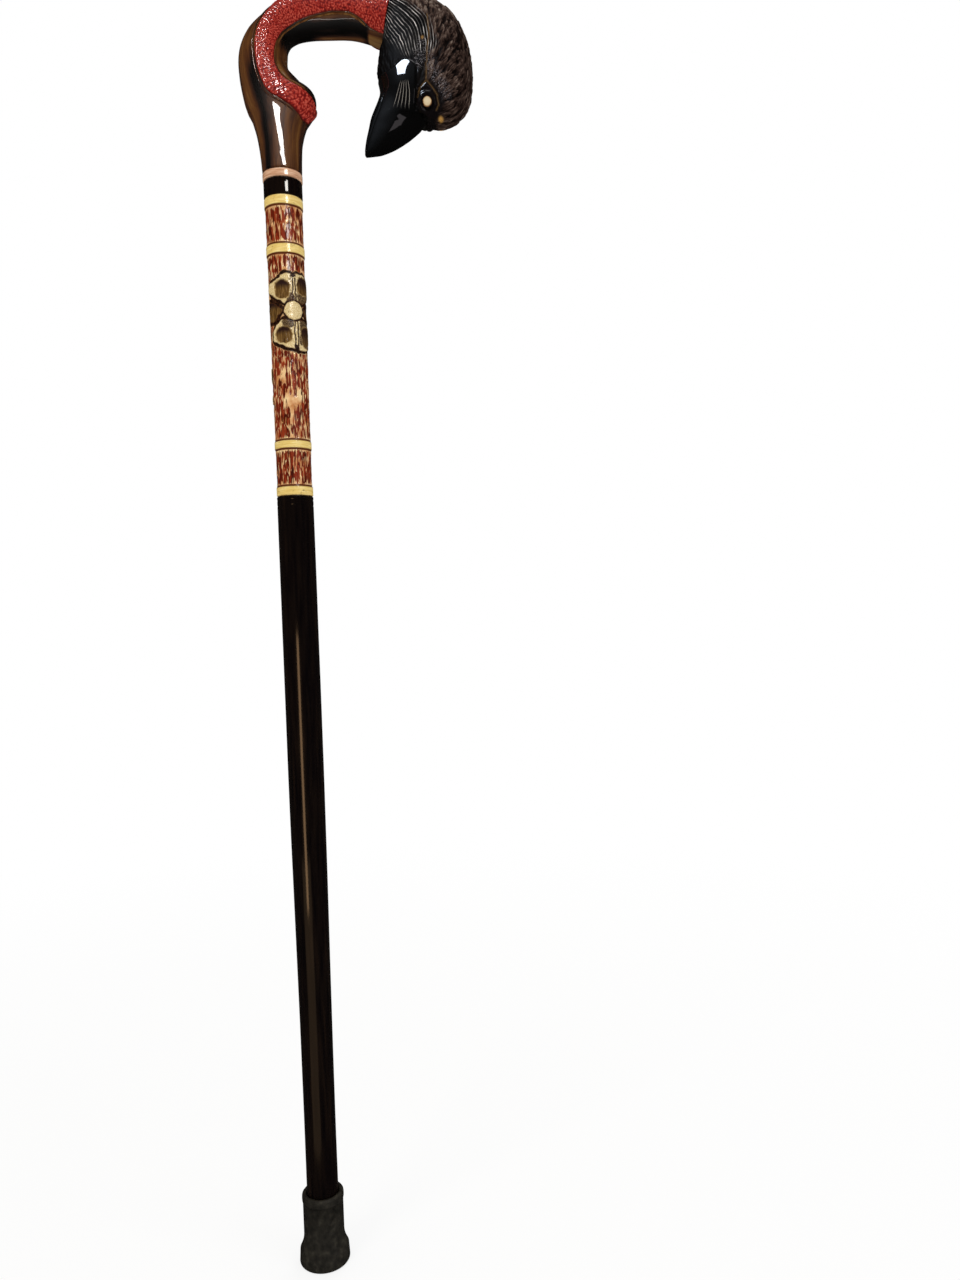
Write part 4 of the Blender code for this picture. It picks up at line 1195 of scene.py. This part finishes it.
headSettings = {
    "stations": (  # from the head's joint: outer x and z, inner x and z, half thickness
        (18.4, 17.2, -9.0, -23.6, 19.6),
        (30.1, 11.4, -10.1, -27.6, 20.6),
        (43.5, 1.4, -10.9, -31.6, 21.2),
        (51.5, -13.6, -11.5, -35.6, 21.5),
        (55.3, -31.6, -11.4, -39.1, 21.5),
        (55.0, -50.6, -10.4, -43.1, 21.0),
        (51.0, -64.1, -9.5, -47.6, 19.5),
        (42.0, -72.6, -9.5, -51.6, 17.0),
        (31.5, -75.0, -11.1, -56.1, 14.5),
        (23.0, -71.8, -15.9, -66.6, 12.2),
        (17.2, -77.0, -18.2, -75.1, 10.4),
        (9.9, -82.7, -19.7, -80.6, 8.6),
        (0.8, -88.1, -20.7, -85.6, 6.4),
        (-8.3, -91.6, -21.2, -89.4, 4.2),
        (-15.5, -92.6, -21.1, -91.8, 2.2),
    ),
    "tip": (-20.4, -93.0, 0.6),
    "step": 0.43,  # between rows, as far as the bill
    "fineShare": 0.72,  # of the head's length
    "billRows": 64,
    "sides": 300,
    "fan": (5.0, -80.0),  # the crown's feathers point away from here
    "feathers": (8.0, 2.8),  # mm between them, along and across
    "featherLength": (6.0, 12.5),
    "featherWidth": (0.9, 1.8),  # half widths
    "featherHeight": 1.2,
    "featherSize": (0.6, 1.0),  # share of that height
    "featherLean": 0.3,
    "furHeight": 0.2,  # fine hairs between the feathers
    "hackleLane": 4.6,  # degrees between the neck's fine lines
    "laneRise": 0.2,  # how far the neck's lines stand up, and their ridges above that
    "laneHeight": 0.15,
    "lanePull": 0.35,  # how much the lines draw together towards the brow
    "laneWander": 0.16,
    "throatRough": 0.3,
    "billCuts": 0.1,  # the bill was cut by hand, not true
    "face": (24.5, -64.0),  # middle of the bare skin round the eye
    "faceReach": (11.5, 7.5),  # mm from there where it ends, and where it is full
    "billRoot": (6.5, -51.0, 9.0, 1.4),  # the swelling there: x, z, reach and height
    "lineWidth": 0.55,  # of the face's grooves
    "jointDepth": 1.15,  # how far the head's end is sunk at its joint
    "ridge": 0.28,  # how much narrower the bill is along its ridge
    "amberGlints": ((21.8, 18.0, -24.6, 1.5), (32.3, 8.5, -74.0, 1.9)),  # painted highlights, as warm amber spots: x, y and z, radius
    "glintSpeckles": (  # painted glints, as dotted pale places in the side view: points, where they end and where they are full
        (((23.0, -33.0), (27.0, -43.0), (36.5, -59.0)), 6.0, 2.5),
        (((21.5, -27.0), (18.5, -34.0), (19.0, -42.0)), 4.0, 1.5),
    ),
    "seed": 7,
}
eyeSettings = {
    "centre": (23.5, -64.9),
    "radius": 4.0,
    "narrow": 0.84,
    "seat": 10.5,
    "front": 16.4,
    "dome": 1.5,
    "lid": (5.4, 1.1, 0.8),  # mm from the eye's middle, width and height
    "socket": (7.6, 0.9, 0.7),  # and depth
    "sides": 64,
}
faceLines = (  # grooves in the side view: points, depth
    (((23.5, -41.0), (23.5, -52.0), (18.5, -56.9), (16.8, -62.0)), 0.9),
    (((23.5, -52.0), (28.2, -57.5), (30.8, -61.1)), 0.9),
    (((30.4, -61.7), (31.4, -66.4), (29.5, -69.6)), 0.6),
    (((25.6, -8.0), (26.5, -22.2), (24.9, -31.0), (24.1, -41.0)), 0.5),
    (((17.4, -43.5), (16.4, -56.8), (15.6, -68.6)), 0.7),
    (((-6.0, -54.0), (-9.4, -64.0), (-14.0, -73.5), (-18.6, -84.0), (-20.6, -90.0)), 0.45),  # mouth
)
bristleEdges = (  # depth and x of the first hair, then of the last
    ((51.5, 58.6, 66.1), (6.7, 3.5, 0.1)),
    ((51.6, 57.6, 62.6, 66.0), (11.4, 12.0, 11.6, 11.0)),
)
billLine = ((-14.0, -44.5), (0.5, -41.5), (9.0, -37.5), (15.0, -40.0), (17.4, -46.0), (16.6, -57.0),
            (16.0, -66.0), (23.0, -73.5), (10.0, -86.0), (-10.0, -96.0), (-26.0, -97.0),
            (-24.0, -80.0), (-19.0, -62.0))


def headJoint():  # where the head begins, and the crook's section and direction there
    rows, along = crookAt(crookMarks[-1:])
    middle = rows[0, :2] + along[0] * 0.3
    return middle + (0.0, crookBase), rows[0], along[0]


def headPoints(settings):  # the head's smooth surface, its places in the side view and along its length
    joint, end, along = headJoint()
    up = np.array([-along[1], along[0]])
    first = (*(up * end[2]), *(-up * end[3]), end[4])
    tipX, tipZ, tipHalf = settings["tip"]
    rows = np.array([first, *settings["stations"], (tipX, tipZ, tipX, tipZ, tipHalf)])
    marks = marksOf((rows[:, :2] + rows[:, 2:4]) / 2)
    bill = settings["fineShare"] * marks[-1]
    billPlaces = np.linspace(bill, marks[-1], settings["billRows"])
    places = np.concatenate([np.arange(0, bill, settings["step"]), billPlaces])
    smooth = smoothThrough(rows, marks, places)
    turns = circle(settings["sides"])
    middle = (smooth[:, :2] + smooth[:, 2:4]) / 2
    reach = (smooth[:, :2] - smooth[:, 2:4]) / 2
    x = middle[:, :1] + reach[:, :1] * np.cos(turns)
    z = middle[:, 1:] + reach[:, 1:] * np.cos(turns)
    share = np.broadcast_to((places / marks[-1])[:, None], x.shape)
    narrow = 1 - settings["ridge"] * smoothStep(0.6, 0.78, share) * np.clip(np.cos(turns), 0, 1)
    y = -smooth[:, 4:5] * np.sin(turns) * narrow
    return np.stack([x + joint[0], y, z + joint[1]], axis=2), x, z, share, joint


def makeHead(settings, eye):
    points, x, z, share, joint = headPoints(settings)
    normals = gridNormals(points)
    turn = np.broadcast_to(np.degrees(circle(settings["sides"])), x.shape)
    fold = folded(turn)
    side = np.where(turn < 180, 0.0, 50.0)  # so that the two sides differ in the noise
    billCurve = closedCurve(billLine)
    billAway = distanceTo(billCurve, x, z, closed=True)
    billInside = np.where(insideOf(billCurve, x, z), billAway, -billAway)
    bill = np.maximum(smoothStep(-0.8, 0.8, billInside), smoothStep(0.74, 0.78, share))
    plain = 1 - bill
    faceX, faceZ = settings["face"]
    face = smoothStep(*settings["faceReach"], np.hypot(x - faceX, (z - faceZ) * 0.9)) * plain
    hackle = smoothStep(0.37, 0.31, share) * smoothStep(66, 78, fold) * smoothStep(152, 126, fold) * plain
    throat = smoothStep(126, 146, fold) * plain
    crown = smoothStep(92, 80, fold + 12 * smoothStep(0.4, 0.2, share)) * plain * (1 - face)
    feather, shade = carveFeathers(settings, points, normals, x, z, fold, 1 - np.maximum(hackle, bill))
    feather = feather * plain * (1 - 0.9 * hackle) * (1 - 0.85 * face) * (1 - 0.5 * throat)
    pull = settings["lanePull"] * (share / 0.33) ** 2
    lane = (fold - 100 * pull) / (1 - pull) / settings["hackleLane"]
    lane = lane + settings["laneWander"] * softNoise(share * 36, fold / 14, side, seed=61)
    groove = np.abs((lane + 0.5) % 1 - 0.5) * 2
    fanX, fanZ = x - settings["fan"][0], z - settings["fan"][1]
    across = np.degrees(np.arctan2(fanZ, fanX)) * 0.8
    combed = np.hypot(fanX, fanZ)
    y = points[:, :, 1]
    fur = softNoise(combed / 6, across / 1.2, y / 1.3 + 40, seed=62)
    onFur = np.clip(1 - bill - hackle - 0.7 * face, 0, 1)
    rough = softNoise(points[:, :, 0] / 1.6 + 60, points[:, :, 2] / 2.6, y / 1.6 + 60, seed=63)
    cuts = softNoise(x / 5 + 9, z / 5, y / 5 + 9, seed=64)
    lift = -settings["jointDepth"] * smoothStep(0.0, 0.04, share) * plain
    lift = lift + settings["featherHeight"] * feather + settings["furHeight"] * fur * onFur
    lift = lift + (settings["laneHeight"] * groove + settings["laneRise"]) * hackle
    lift = lift + settings["throatRough"] * rough * throat
    lift = lift + faceLift(settings, eye, x, z, fold) + settings["billCuts"] * bill * cuts
    low, high = [np.array(corner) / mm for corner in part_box("raven_head")]
    points = np.clip(points + normals * lift[:, :, None], low, high)
    tan, amber, speckle = np.zeros((3, *x.shape))
    for line, _ in faceLines[:4]:
        tan = np.maximum(tan, 0.9 * smoothStep(0.55, 0.1, distanceTo(line, x, z)))
    # painted highlights: warm amber spots
    for cx, cy, cz, radius in settings["amberGlints"]:
        out = np.sqrt((x - cx) ** 2 + ((z - cz) * 0.85) ** 2 + ((np.abs(points[:, :, 1]) - cy) * 0.5) ** 2)
        amber = np.maximum(amber, smoothStep(radius * 1.3, radius * 0.5, out))
    # painted glints: pale dots on the head's side
    for line, end, full in settings["glintSpeckles"]:
        speckle = np.maximum(speckle, smoothStep(end, full, distanceTo(line, x, z)))
    onSide = smoothStep(40, 52, fold)
    lined = smoothStep(-2.5, 1.5, 0.77 * (x + 1.7) + 0.64 * (z + 21.6))  # the lines stop over the throat
    wet = np.maximum(smoothStep(-60, -54, z), smoothStep(114, 98, fold))
    hairLane, hairs = bristles(x, z)
    layers = {
        "bill": bill,
        "crown": crown,
        "feather": np.clip(feather, 0, 1),
        "shade": shade + 0.9 * smoothStep(0.34, 0.14, share),
        "face": face,
        "throat": throat,
        "lane": lane,
        "hackle": hackle * lined,
        "tan": tan * onSide,
        "amber": amber,
        "speckle": speckle * onSide * plain * (1 - face),
        "lacquer": np.maximum(0.6 * face, bill * wet),
        "hairLane": hairLane,
        "hairs": hairs * onSide,
        "combAlong": combed,
        "combAcross": across,
        "backAlong": share * 150,
        "backAcross": fold / 2,
        "back": smoothStep(46, 26, fold),
    }
    gridPiece("carvedRavenHead", points, layers, ravenWood(), "black_brown_carved_wood", "raven_head")
    return joint


def carveFeathers(settings, points, normals, x, z, fold, zone):  # overlapping, each with its own shade
    draw = np.random.default_rng(settings["seed"])
    rows, cols = x.shape
    height, shade = np.zeros(x.shape), np.zeros(x.shape)
    gapAlong = max(1, round(settings["feathers"][0] / settings["step"] / 2))
    back = np.gradient(points, axis=0) * -1.0
    window = int(settings["featherLength"][1] / settings["step"])  # rows that a feather can reach
    sideways = 22  # and columns
    seeds = []
    for row in range(3, rows - settings["billRows"], gapAlong):
        girth = np.linalg.norm(np.roll(points[row], -1, axis=0) - points[row], axis=1).sum()
        count = int(girth / settings["feathers"][1])
        for place in (np.arange(count) + draw.random()) / count * cols:
            seeds.append((row + draw.integers(-4, 5), int(place + draw.uniform(-2, 2)) % cols))
    for row, col in seeds:
        row = min(max(row, 1), rows - 2)
        length = draw.uniform(*settings["featherLength"])
        width = draw.uniform(*settings["featherWidth"])
        size, own = draw.uniform(*settings["featherSize"]), draw.random()
        lean = draw.uniform(-1, 1) * settings["featherLean"]
        if zone[row, col] < 0.3:
            continue
        start, out = points[row, col], normals[row, col]
        ray = np.array([x[row, col] - settings["fan"][0], 0.0, z[row, col] - settings["fan"][1]])
        onSide = smoothStep(16, 48, fold[row, col])
        ahead = ray / np.linalg.norm(ray) * onSide * 1.3
        ahead = ahead + back[row, col] / np.linalg.norm(back[row, col]) * (1.1 - 0.75 * onSide)
        ahead = ahead - out * np.dot(out, ahead)
        ahead = ahead / np.linalg.norm(ahead)
        across = np.cross(out, ahead)
        ahead = ahead * math.cos(lean) + across * math.sin(lean)
        across = np.cross(out, ahead)
        nearRows = np.arange(max(row - window, 0), min(row + window, rows))[:, None]
        near = nearRows, np.arange(col - sideways, col + sideways + 1) % cols
        away = points[near] - start
        t = away @ ahead / length + 0.5
        q = away @ across
        flat = np.abs(away @ out) < 7
        reach = width * np.clip(t / 0.3, 0, 1) ** 0.5 * np.clip(1 - t**4, 0, 1) ** 0.5 + 0.01
        bow = np.clip(1 - (q / reach) ** 2, 0, 1) * (t > 0) * (t < 1) * flat
        value = size * (0.2 + 0.8 * np.clip(t, 0, 1)) * bow**0.6 - 0.2 * np.exp(-(q / 0.3) ** 2) * (bow > 0)
        shade[near] = np.where(value > height[near], own, shade[near])
        height[near] = np.maximum(height[near], value)
    return height, shade


def faceLift(settings, eye, x, z, fold):  # the eye's lid and socket, the face's grooves, the bill's root
    away = np.hypot(x - eye["centre"][0], z - eye["centre"][1])
    lid, socket = [high * np.exp(-((away - place) / width) ** 2)
                   for place, width, high in (eye["lid"], eye["socket"])]
    lift = lid - socket
    for line, deep in faceLines:
        lift = lift - deep * np.exp(-(distanceTo(line, x, z) / settings["lineWidth"]) ** 2)
    rootX, rootZ, reach, high = settings["billRoot"]
    lift = lift + high * np.exp(-(np.hypot(x - rootX, z - rootZ) / reach) ** 2)
    return lift * smoothStep(30, 50, fold)


def bristles(x, z):  # five pale hairs over the bill's root: a coordinate across them, and where they lie
    first, last = [np.interp(-z, depths, places) for depths, places in bristleEdges]
    lane = 4 * (x - first) / (last - first)
    place = smoothStep(-51.0, -53.0, z) * smoothStep(-66.5, -61.0, z + 0.5 * np.clip(lane, 0, 4))
    return lane, place * smoothStep(-0.5, -0.3, lane) * smoothStep(4.5, 4.3, lane)


def ravenWood():  # limewood: dusty brown crown, black neck with pale lines painted as highlights on its ridges, wet black bill
    made, tree, shader = newMaterial("stainedCarvedLimewood", {
        "Roughness": 0.55,
        "IOR": 1.5,
        "Specular IOR Level": 0.03,
        "Coat Roughness": 0.05,
    })
    names = ("bill", "crown", "feather", "shade", "face", "throat", "lane", "hackle", "tan", "amber",
             "speckle", "lacquer", "hairLane", "hairs", "combAlong", "combAcross", "backAlong",
             "backAcross", "back")
    layer = {name: addNode(tree, "Attribute", {"attribute_name": name}).outputs["Fac"] for name in names}
    place = addNode(tree, "TexCoord").outputs["Object"]
    depth = addNode(tree, "SeparateXYZ", {"Vector": place}).outputs["Y"]
    depth = addNode(tree, "Math", {"operation": "MULTIPLY", 0: depth, 1: 1 / mm})
    # Hairs along the lie of the feathers, drawn about 1 mm wide, on the sides and then down the back
    streaks = []
    for lie, third, perMm in (("comb", depth, 0.95), ("back", 0.0, 1.1)):
        slow = addNode(tree, "Math", {"operation": "MULTIPLY", 0: layer[lie + "Along"], 1: 0.14})
        spot = addNode(tree, "CombineXYZ", {"X": slow, "Y": layer[lie + "Across"], "Z": third})
        streaks.append(addNode(tree, "TexNoise", {"Vector": spot, "Scale": perMm, "Detail": 3.0,
                                                  "Roughness": 0.6}))
    hairs = addNode(tree, "Mix", {0: layer["back"], 2: streaks[0], 3: streaks[1]})
    # Lighter and darker stain in patches 14 mm wide
    blotch = addNode(tree, "TexNoise", {"Vector": place, "Scale": 0.07 / mm, "Detail": 3.0})
    spread = addNode(tree, "MapRange", {"Value": hairs, "From Min": 0.32, "From Max": 0.68,
                                        "To Min": -0.08, "To Max": 0.5})
    tone = addNode(tree, "Math", {"operation": "MULTIPLY_ADD", 0: layer["feather"], 1: 0.42, 2: spread})
    tone = addNode(tree, "Math", {"operation": "MULTIPLY_ADD", 0: layer["shade"], 1: 0.22, 2: tone})
    stops = ((0.14, "#060302"), (0.36, "#1d120e"), (0.58, "#3d2e27"), (0.78, "#5f4f46"), (0.98, "#867a6d"))
    brown = addNode(tree, "ValToRGB", {"stops": stops, 0: tone})
    neck = addNode(tree, "ValToRGB", {"stops": ((0.35, "#030202"), (0.7, "#120e0b")), 0: blotch})
    # The neck's pale lines, painted highlights on its ridges, each with its own strength, and broken here
    # and there
    turned = addNode(tree, "Math", {"operation": "PINGPONG", 0: layer["lane"], 1: 0.5})
    fine = addNode(tree, "MapRange", {"Value": turned, "From Min": 0.135, "From Max": 0.06})
    number = addNode(tree, "Math", {"operation": "ROUND", 0: layer["lane"]})
    own = addNode(tree, "TexWhiteNoise", {"noise_dimensions": "1D", "W": number})
    own = addNode(tree, "MapRange", {"Value": own, "To Min": 0.15, "To Max": 1.25})
    fine = addNode(tree, "Math", {"operation": "MULTIPLY", "use_clamp": True, 0: fine, 1: own})
    spot = addNode(tree, "CombineXYZ", {"X": layer["backAlong"], "Y": layer["lane"]})
    spot = addNode(tree, "Mapping", {"Vector": spot, "Scale": (0.12, 0.9, 1.0)})
    broken = addNode(tree, "TexNoise", {"Vector": spot, "Scale": 1.0, "Detail": 2.0})
    broken = addNode(tree, "MapRange", {"Value": broken, "From Min": 0.4, "From Max": 0.62, "To Min": 0.12})
    # The hairs over the bill's root, and pale dots drawn 0.5 mm wide as painted glints
    turned = addNode(tree, "Math", {"operation": "PINGPONG", 0: layer["hairLane"], 1: 0.5})
    whisker = addNode(tree, "MapRange", {"Value": turned, "From Min": 0.11, "From Max": 0.04,
                                         "To Max": 0.85})
    dots = addNode(tree, "TexNoise", {"Vector": place, "Scale": 1.9 / mm, "Detail": 2.0})
    dots = addNode(tree, "MapRange", {"Value": dots, "From Min": 0.57, "From Max": 0.66, "To Max": 0.6})
    for mask in (broken, layer["hackle"]):
        fine = addNode(tree, "Math", {"operation": "MULTIPLY", 0: fine, 1: mask})
    whisker = addNode(tree, "Math", {"operation": "MULTIPLY", 0: whisker, 1: layer["hairs"]})
    dots = addNode(tree, "Math", {"operation": "MULTIPLY", 0: dots, 1: layer["speckle"]})
    steps = (
        (layer["crown"], brown),
        (layer["face"], "#0f0a0b"),
        (layer["throat"], "#090605"),
        (layer["bill"], "#040404"),
        # painted highlights: the neck's pale lines
        (fine, "#e2dcd8"),
        (dots, "#a8a2a6"),
        (whisker, "#9a948c"),
        (layer["tan"], "#6a5030"),
        (layer["amber"], "#b88a48"),
    )
    colour = neck
    for share, over in steps:
        colour = addNode(tree, "Mix", {"data_type": "RGBA", 0: share, 6: colour, 7: over}).outputs[2]
    high = addNode(tree, "Math", {"operation": "MULTIPLY", 0: spread, 1: layer["crown"]})
    bump = addNode(tree, "Bump", {"Height": high, "Strength": 0.7, "Distance": 0.6 * mm})
    fillNode(shader, {"Base Color": colour, "Coat Weight": layer["lacquer"], "Normal": bump})
    return made


def makeEyes(settings, joint):  # glass-smooth beads: a cream face with an amber-brown rim
    radius = settings["radius"]
    depth = settings["front"] - settings["seat"]
    loop = [(0.05, 0.0), (radius, 0.0), (radius, depth)]
    for turn in np.linspace(0, math.pi / 2, 13)[1:]:
        loop.append((max(radius * math.cos(turn), 0.05), depth + settings["dome"] * math.sin(turn)))
    radii, heights = np.array(loop).T
    turned = turnedPoints(heights, radii, settings["sides"])
    rim = np.broadcast_to(radii[:, None] / radius, turned.shape[:2])
    made = eyeEnamel()
    eyes = ((-1, "ravenEyeLeft", "raven_eye_left"), (1, "ravenEyeRight", "raven_eye_right"))
    for side, name, node in eyes:
        points = np.stack([turned[:, :, 0] * settings["narrow"] + joint[0] + settings["centre"][0],
                           side * (turned[:, :, 2] + settings["seat"]),
                           turned[:, :, 1] + joint[1] + settings["centre"][1]], axis=2)
        gridPiece(name, points, {"rim": rim}, made, "cream_eye_bead", node)


def eyeEnamel():  # cream, a little mottled, turning amber and dark brown at the rim
    made, tree, shader = newMaterial("enamelledEyeBead", {"Roughness": 0.42, "IOR": 1.5})
    rim = addNode(tree, "Attribute", {"attribute_name": "rim"}).outputs["Fac"]
    place = addNode(tree, "TexCoord").outputs["Object"]
    cloud = addNode(tree, "TexNoise", {"Vector": place, "Scale": 0.5 / mm, "Detail": 3.0})  # 2 mm clouds
    cloud = addNode(tree, "MapRange", {"Value": cloud, "To Min": -0.12, "To Max": 0.12})
    tone = addNode(tree, "Math", {"operation": "ADD", 0: rim, 1: cloud})
    stops = ((0.0, "#d9c7a4"), (0.7, "#cdb890"), (0.84, "#8a5a22"), (0.93, "#2a1408"), (0.99, "#080403"))
    fillNode(shader, {"Base Color": addNode(tree, "ValToRGB", {"stops": stops, 0: tone})})
    return made


joint = makeHead(headSettings, eyeSettings)
makeEyes(eyeSettings, joint)
print("raven's head carved")


# Ferrule: moulded black rubber with a rolled lip, a waist and a flared foot

ferruleSettings = {
    "bore": 11.4,
    "wall": 2.9,
    "flare": 3.5,
    "footEdge": 1.6,
    "footHeight": 10.0,
    "flareHeight": 11.0,
    "lip": 0.5,
    "lipHeight": 6.0,
    "floor": 8.0,
    "sides": 144,
    "treads": (5.0, 9.0, 13.0),  # radii of the grooves under the foot
    "treadWidth": 0.55,
    "treadDepth": 0.8,
}


def makeFerrule(settings):
    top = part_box("ferrule")[1].z / mm
    bore, edge, lip = settings["bore"], settings["footEdge"], settings["lip"]
    sleeve = bore + settings["wall"]
    foot = sleeve + settings["flare"]
    outline = []
    for r in np.arange(0.3, foot - edge - 0.2, 0.4):
        groove = max(math.exp(-((r - tread) / settings["treadWidth"]) ** 4) for tread in settings["treads"])
        outline.append((r, settings["treadDepth"] * groove))
    for turn in np.linspace(0, math.pi / 2, 9):
        outline.append((foot - edge * (1 - math.sin(turn)), edge * (1 - math.cos(turn))))
    for share in np.linspace(0, 1, 15):
        height = settings["footHeight"] + settings["flareHeight"] * share
        outline.append((sleeve + (settings["flare"] - 0.5) * (1 - share) ** 2, height))
    half = settings["lipHeight"] / 2
    for turn in np.linspace(0, math.pi, 9):
        height = top - half - half * math.cos(turn) * 0.8 - 0.4
        outline.append((sleeve + lip * math.sin(turn) ** 0.5, height))
    outline += [(sleeve + lip - 0.9, top - 0.3), (sleeve + lip - 1.6, top), (bore + 0.6, top)]
    outline += [(bore, top - 0.8), (bore, settings["floor"]), (0.3, settings["floor"])]
    radii, heights = zip(*outline)
    points = turnedPoints(heights, radii, settings["sides"])
    gridPiece("rubberFerrule", points, {}, mouldedRubber(), "black_rubber", "ferrule")


def mouldedRubber():  # dull black with a faint bloom and scuffs
    made, tree, shader = newMaterial("mouldedRubber", {"IOR": 1.52})
    place = addNode(tree, "TexCoord").outputs["Object"]
    # Scuffs about 4 mm long
    scuff = addNode(tree, "TexNoise", {"Vector": place, "Scale": 0.24 / mm, "Detail": 6.0})
    stops = ((0.35, "#1f1c16"), (0.55, "#2a261e"), (0.75, "#3a362a"))
    fillNode(shader, {
        "Base Color": addNode(tree, "ValToRGB", {"stops": stops, 0: scuff}),
        "Roughness": addNode(tree, "MapRange", {"Value": scuff, "To Min": 0.42, "To Max": 0.62}),
        "Normal": addNode(tree, "Bump", {"Height": scuff, "Strength": 0.2, "Distance": 0.2 * mm}),
    })
    return made


makeFerrule(ferruleSettings)
print("ferrule moulded")


# Hidden pieces keep their CAD shapes and get their real finishes

def platedSteel():  # zinc plating: bluish grey, slightly mottled
    made, tree, shader = newMaterial("zincPlatedSteel", {"Metallic": 1.0})
    place = addNode(tree, "TexCoord").outputs["Object"]
    mottle = addNode(tree, "TexNoise", {"Vector": place, "Scale": 0.5 / mm, "Detail": 3.0})  # 2 mm crystals
    fillNode(shader, {
        "Base Color": addNode(tree, "ValToRGB", {"stops": ((0.3, "#b4b8bc"), (0.7, "#d0d2d2")), 0: mottle}),
        "Roughness": addNode(tree, "MapRange", {"Value": mottle, "To Min": 0.25, "To Max": 0.42}),
    })
    return made


def bareBeech():  # a dowel's pale, straight grain
    made, tree, shader = newMaterial("bareBeech", {"Roughness": 0.6, "IOR": 1.5})
    place = addNode(tree, "TexCoord").outputs["Object"]
    stretched = addNode(tree, "Mapping", {"Vector": place, "Scale": (0.1, 1.0, 1.0)})
    # Fibres finer than 0.1 mm, drawn 1.3 mm wide
    grain = addNode(tree, "TexNoise", {"Vector": stretched, "Scale": 0.8 / mm, "Detail": 4.0})
    stops = ((0.3, "#b98d5c"), (0.7, "#d9b484"))
    fillNode(shader, {"Base Color": addNode(tree, "ValToRGB", {"stops": stops, 0: grain})})
    return made


steel = platedSteel()
hidden = {"shaft_stud": steel, "handle_stud": steel, "ferrule_washer": steel, "head_dowel": bareBeech()}
for node, made in hidden.items():
    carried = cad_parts[node]
    carried.data.materials.clear()
    carried.data.materials.append(made)
print("hidden pieces finished")


def shareGloss(pieces):
    for lamp, names in pieces.items():
        group = bpy.data.collections.new(lamp + "Pieces")
        for name in names:
            group.objects.link(bpy.data.objects[name])
        bpy.data.objects[lamp].light_linking.receiver_collection = group


shareGloss(glossPieces)
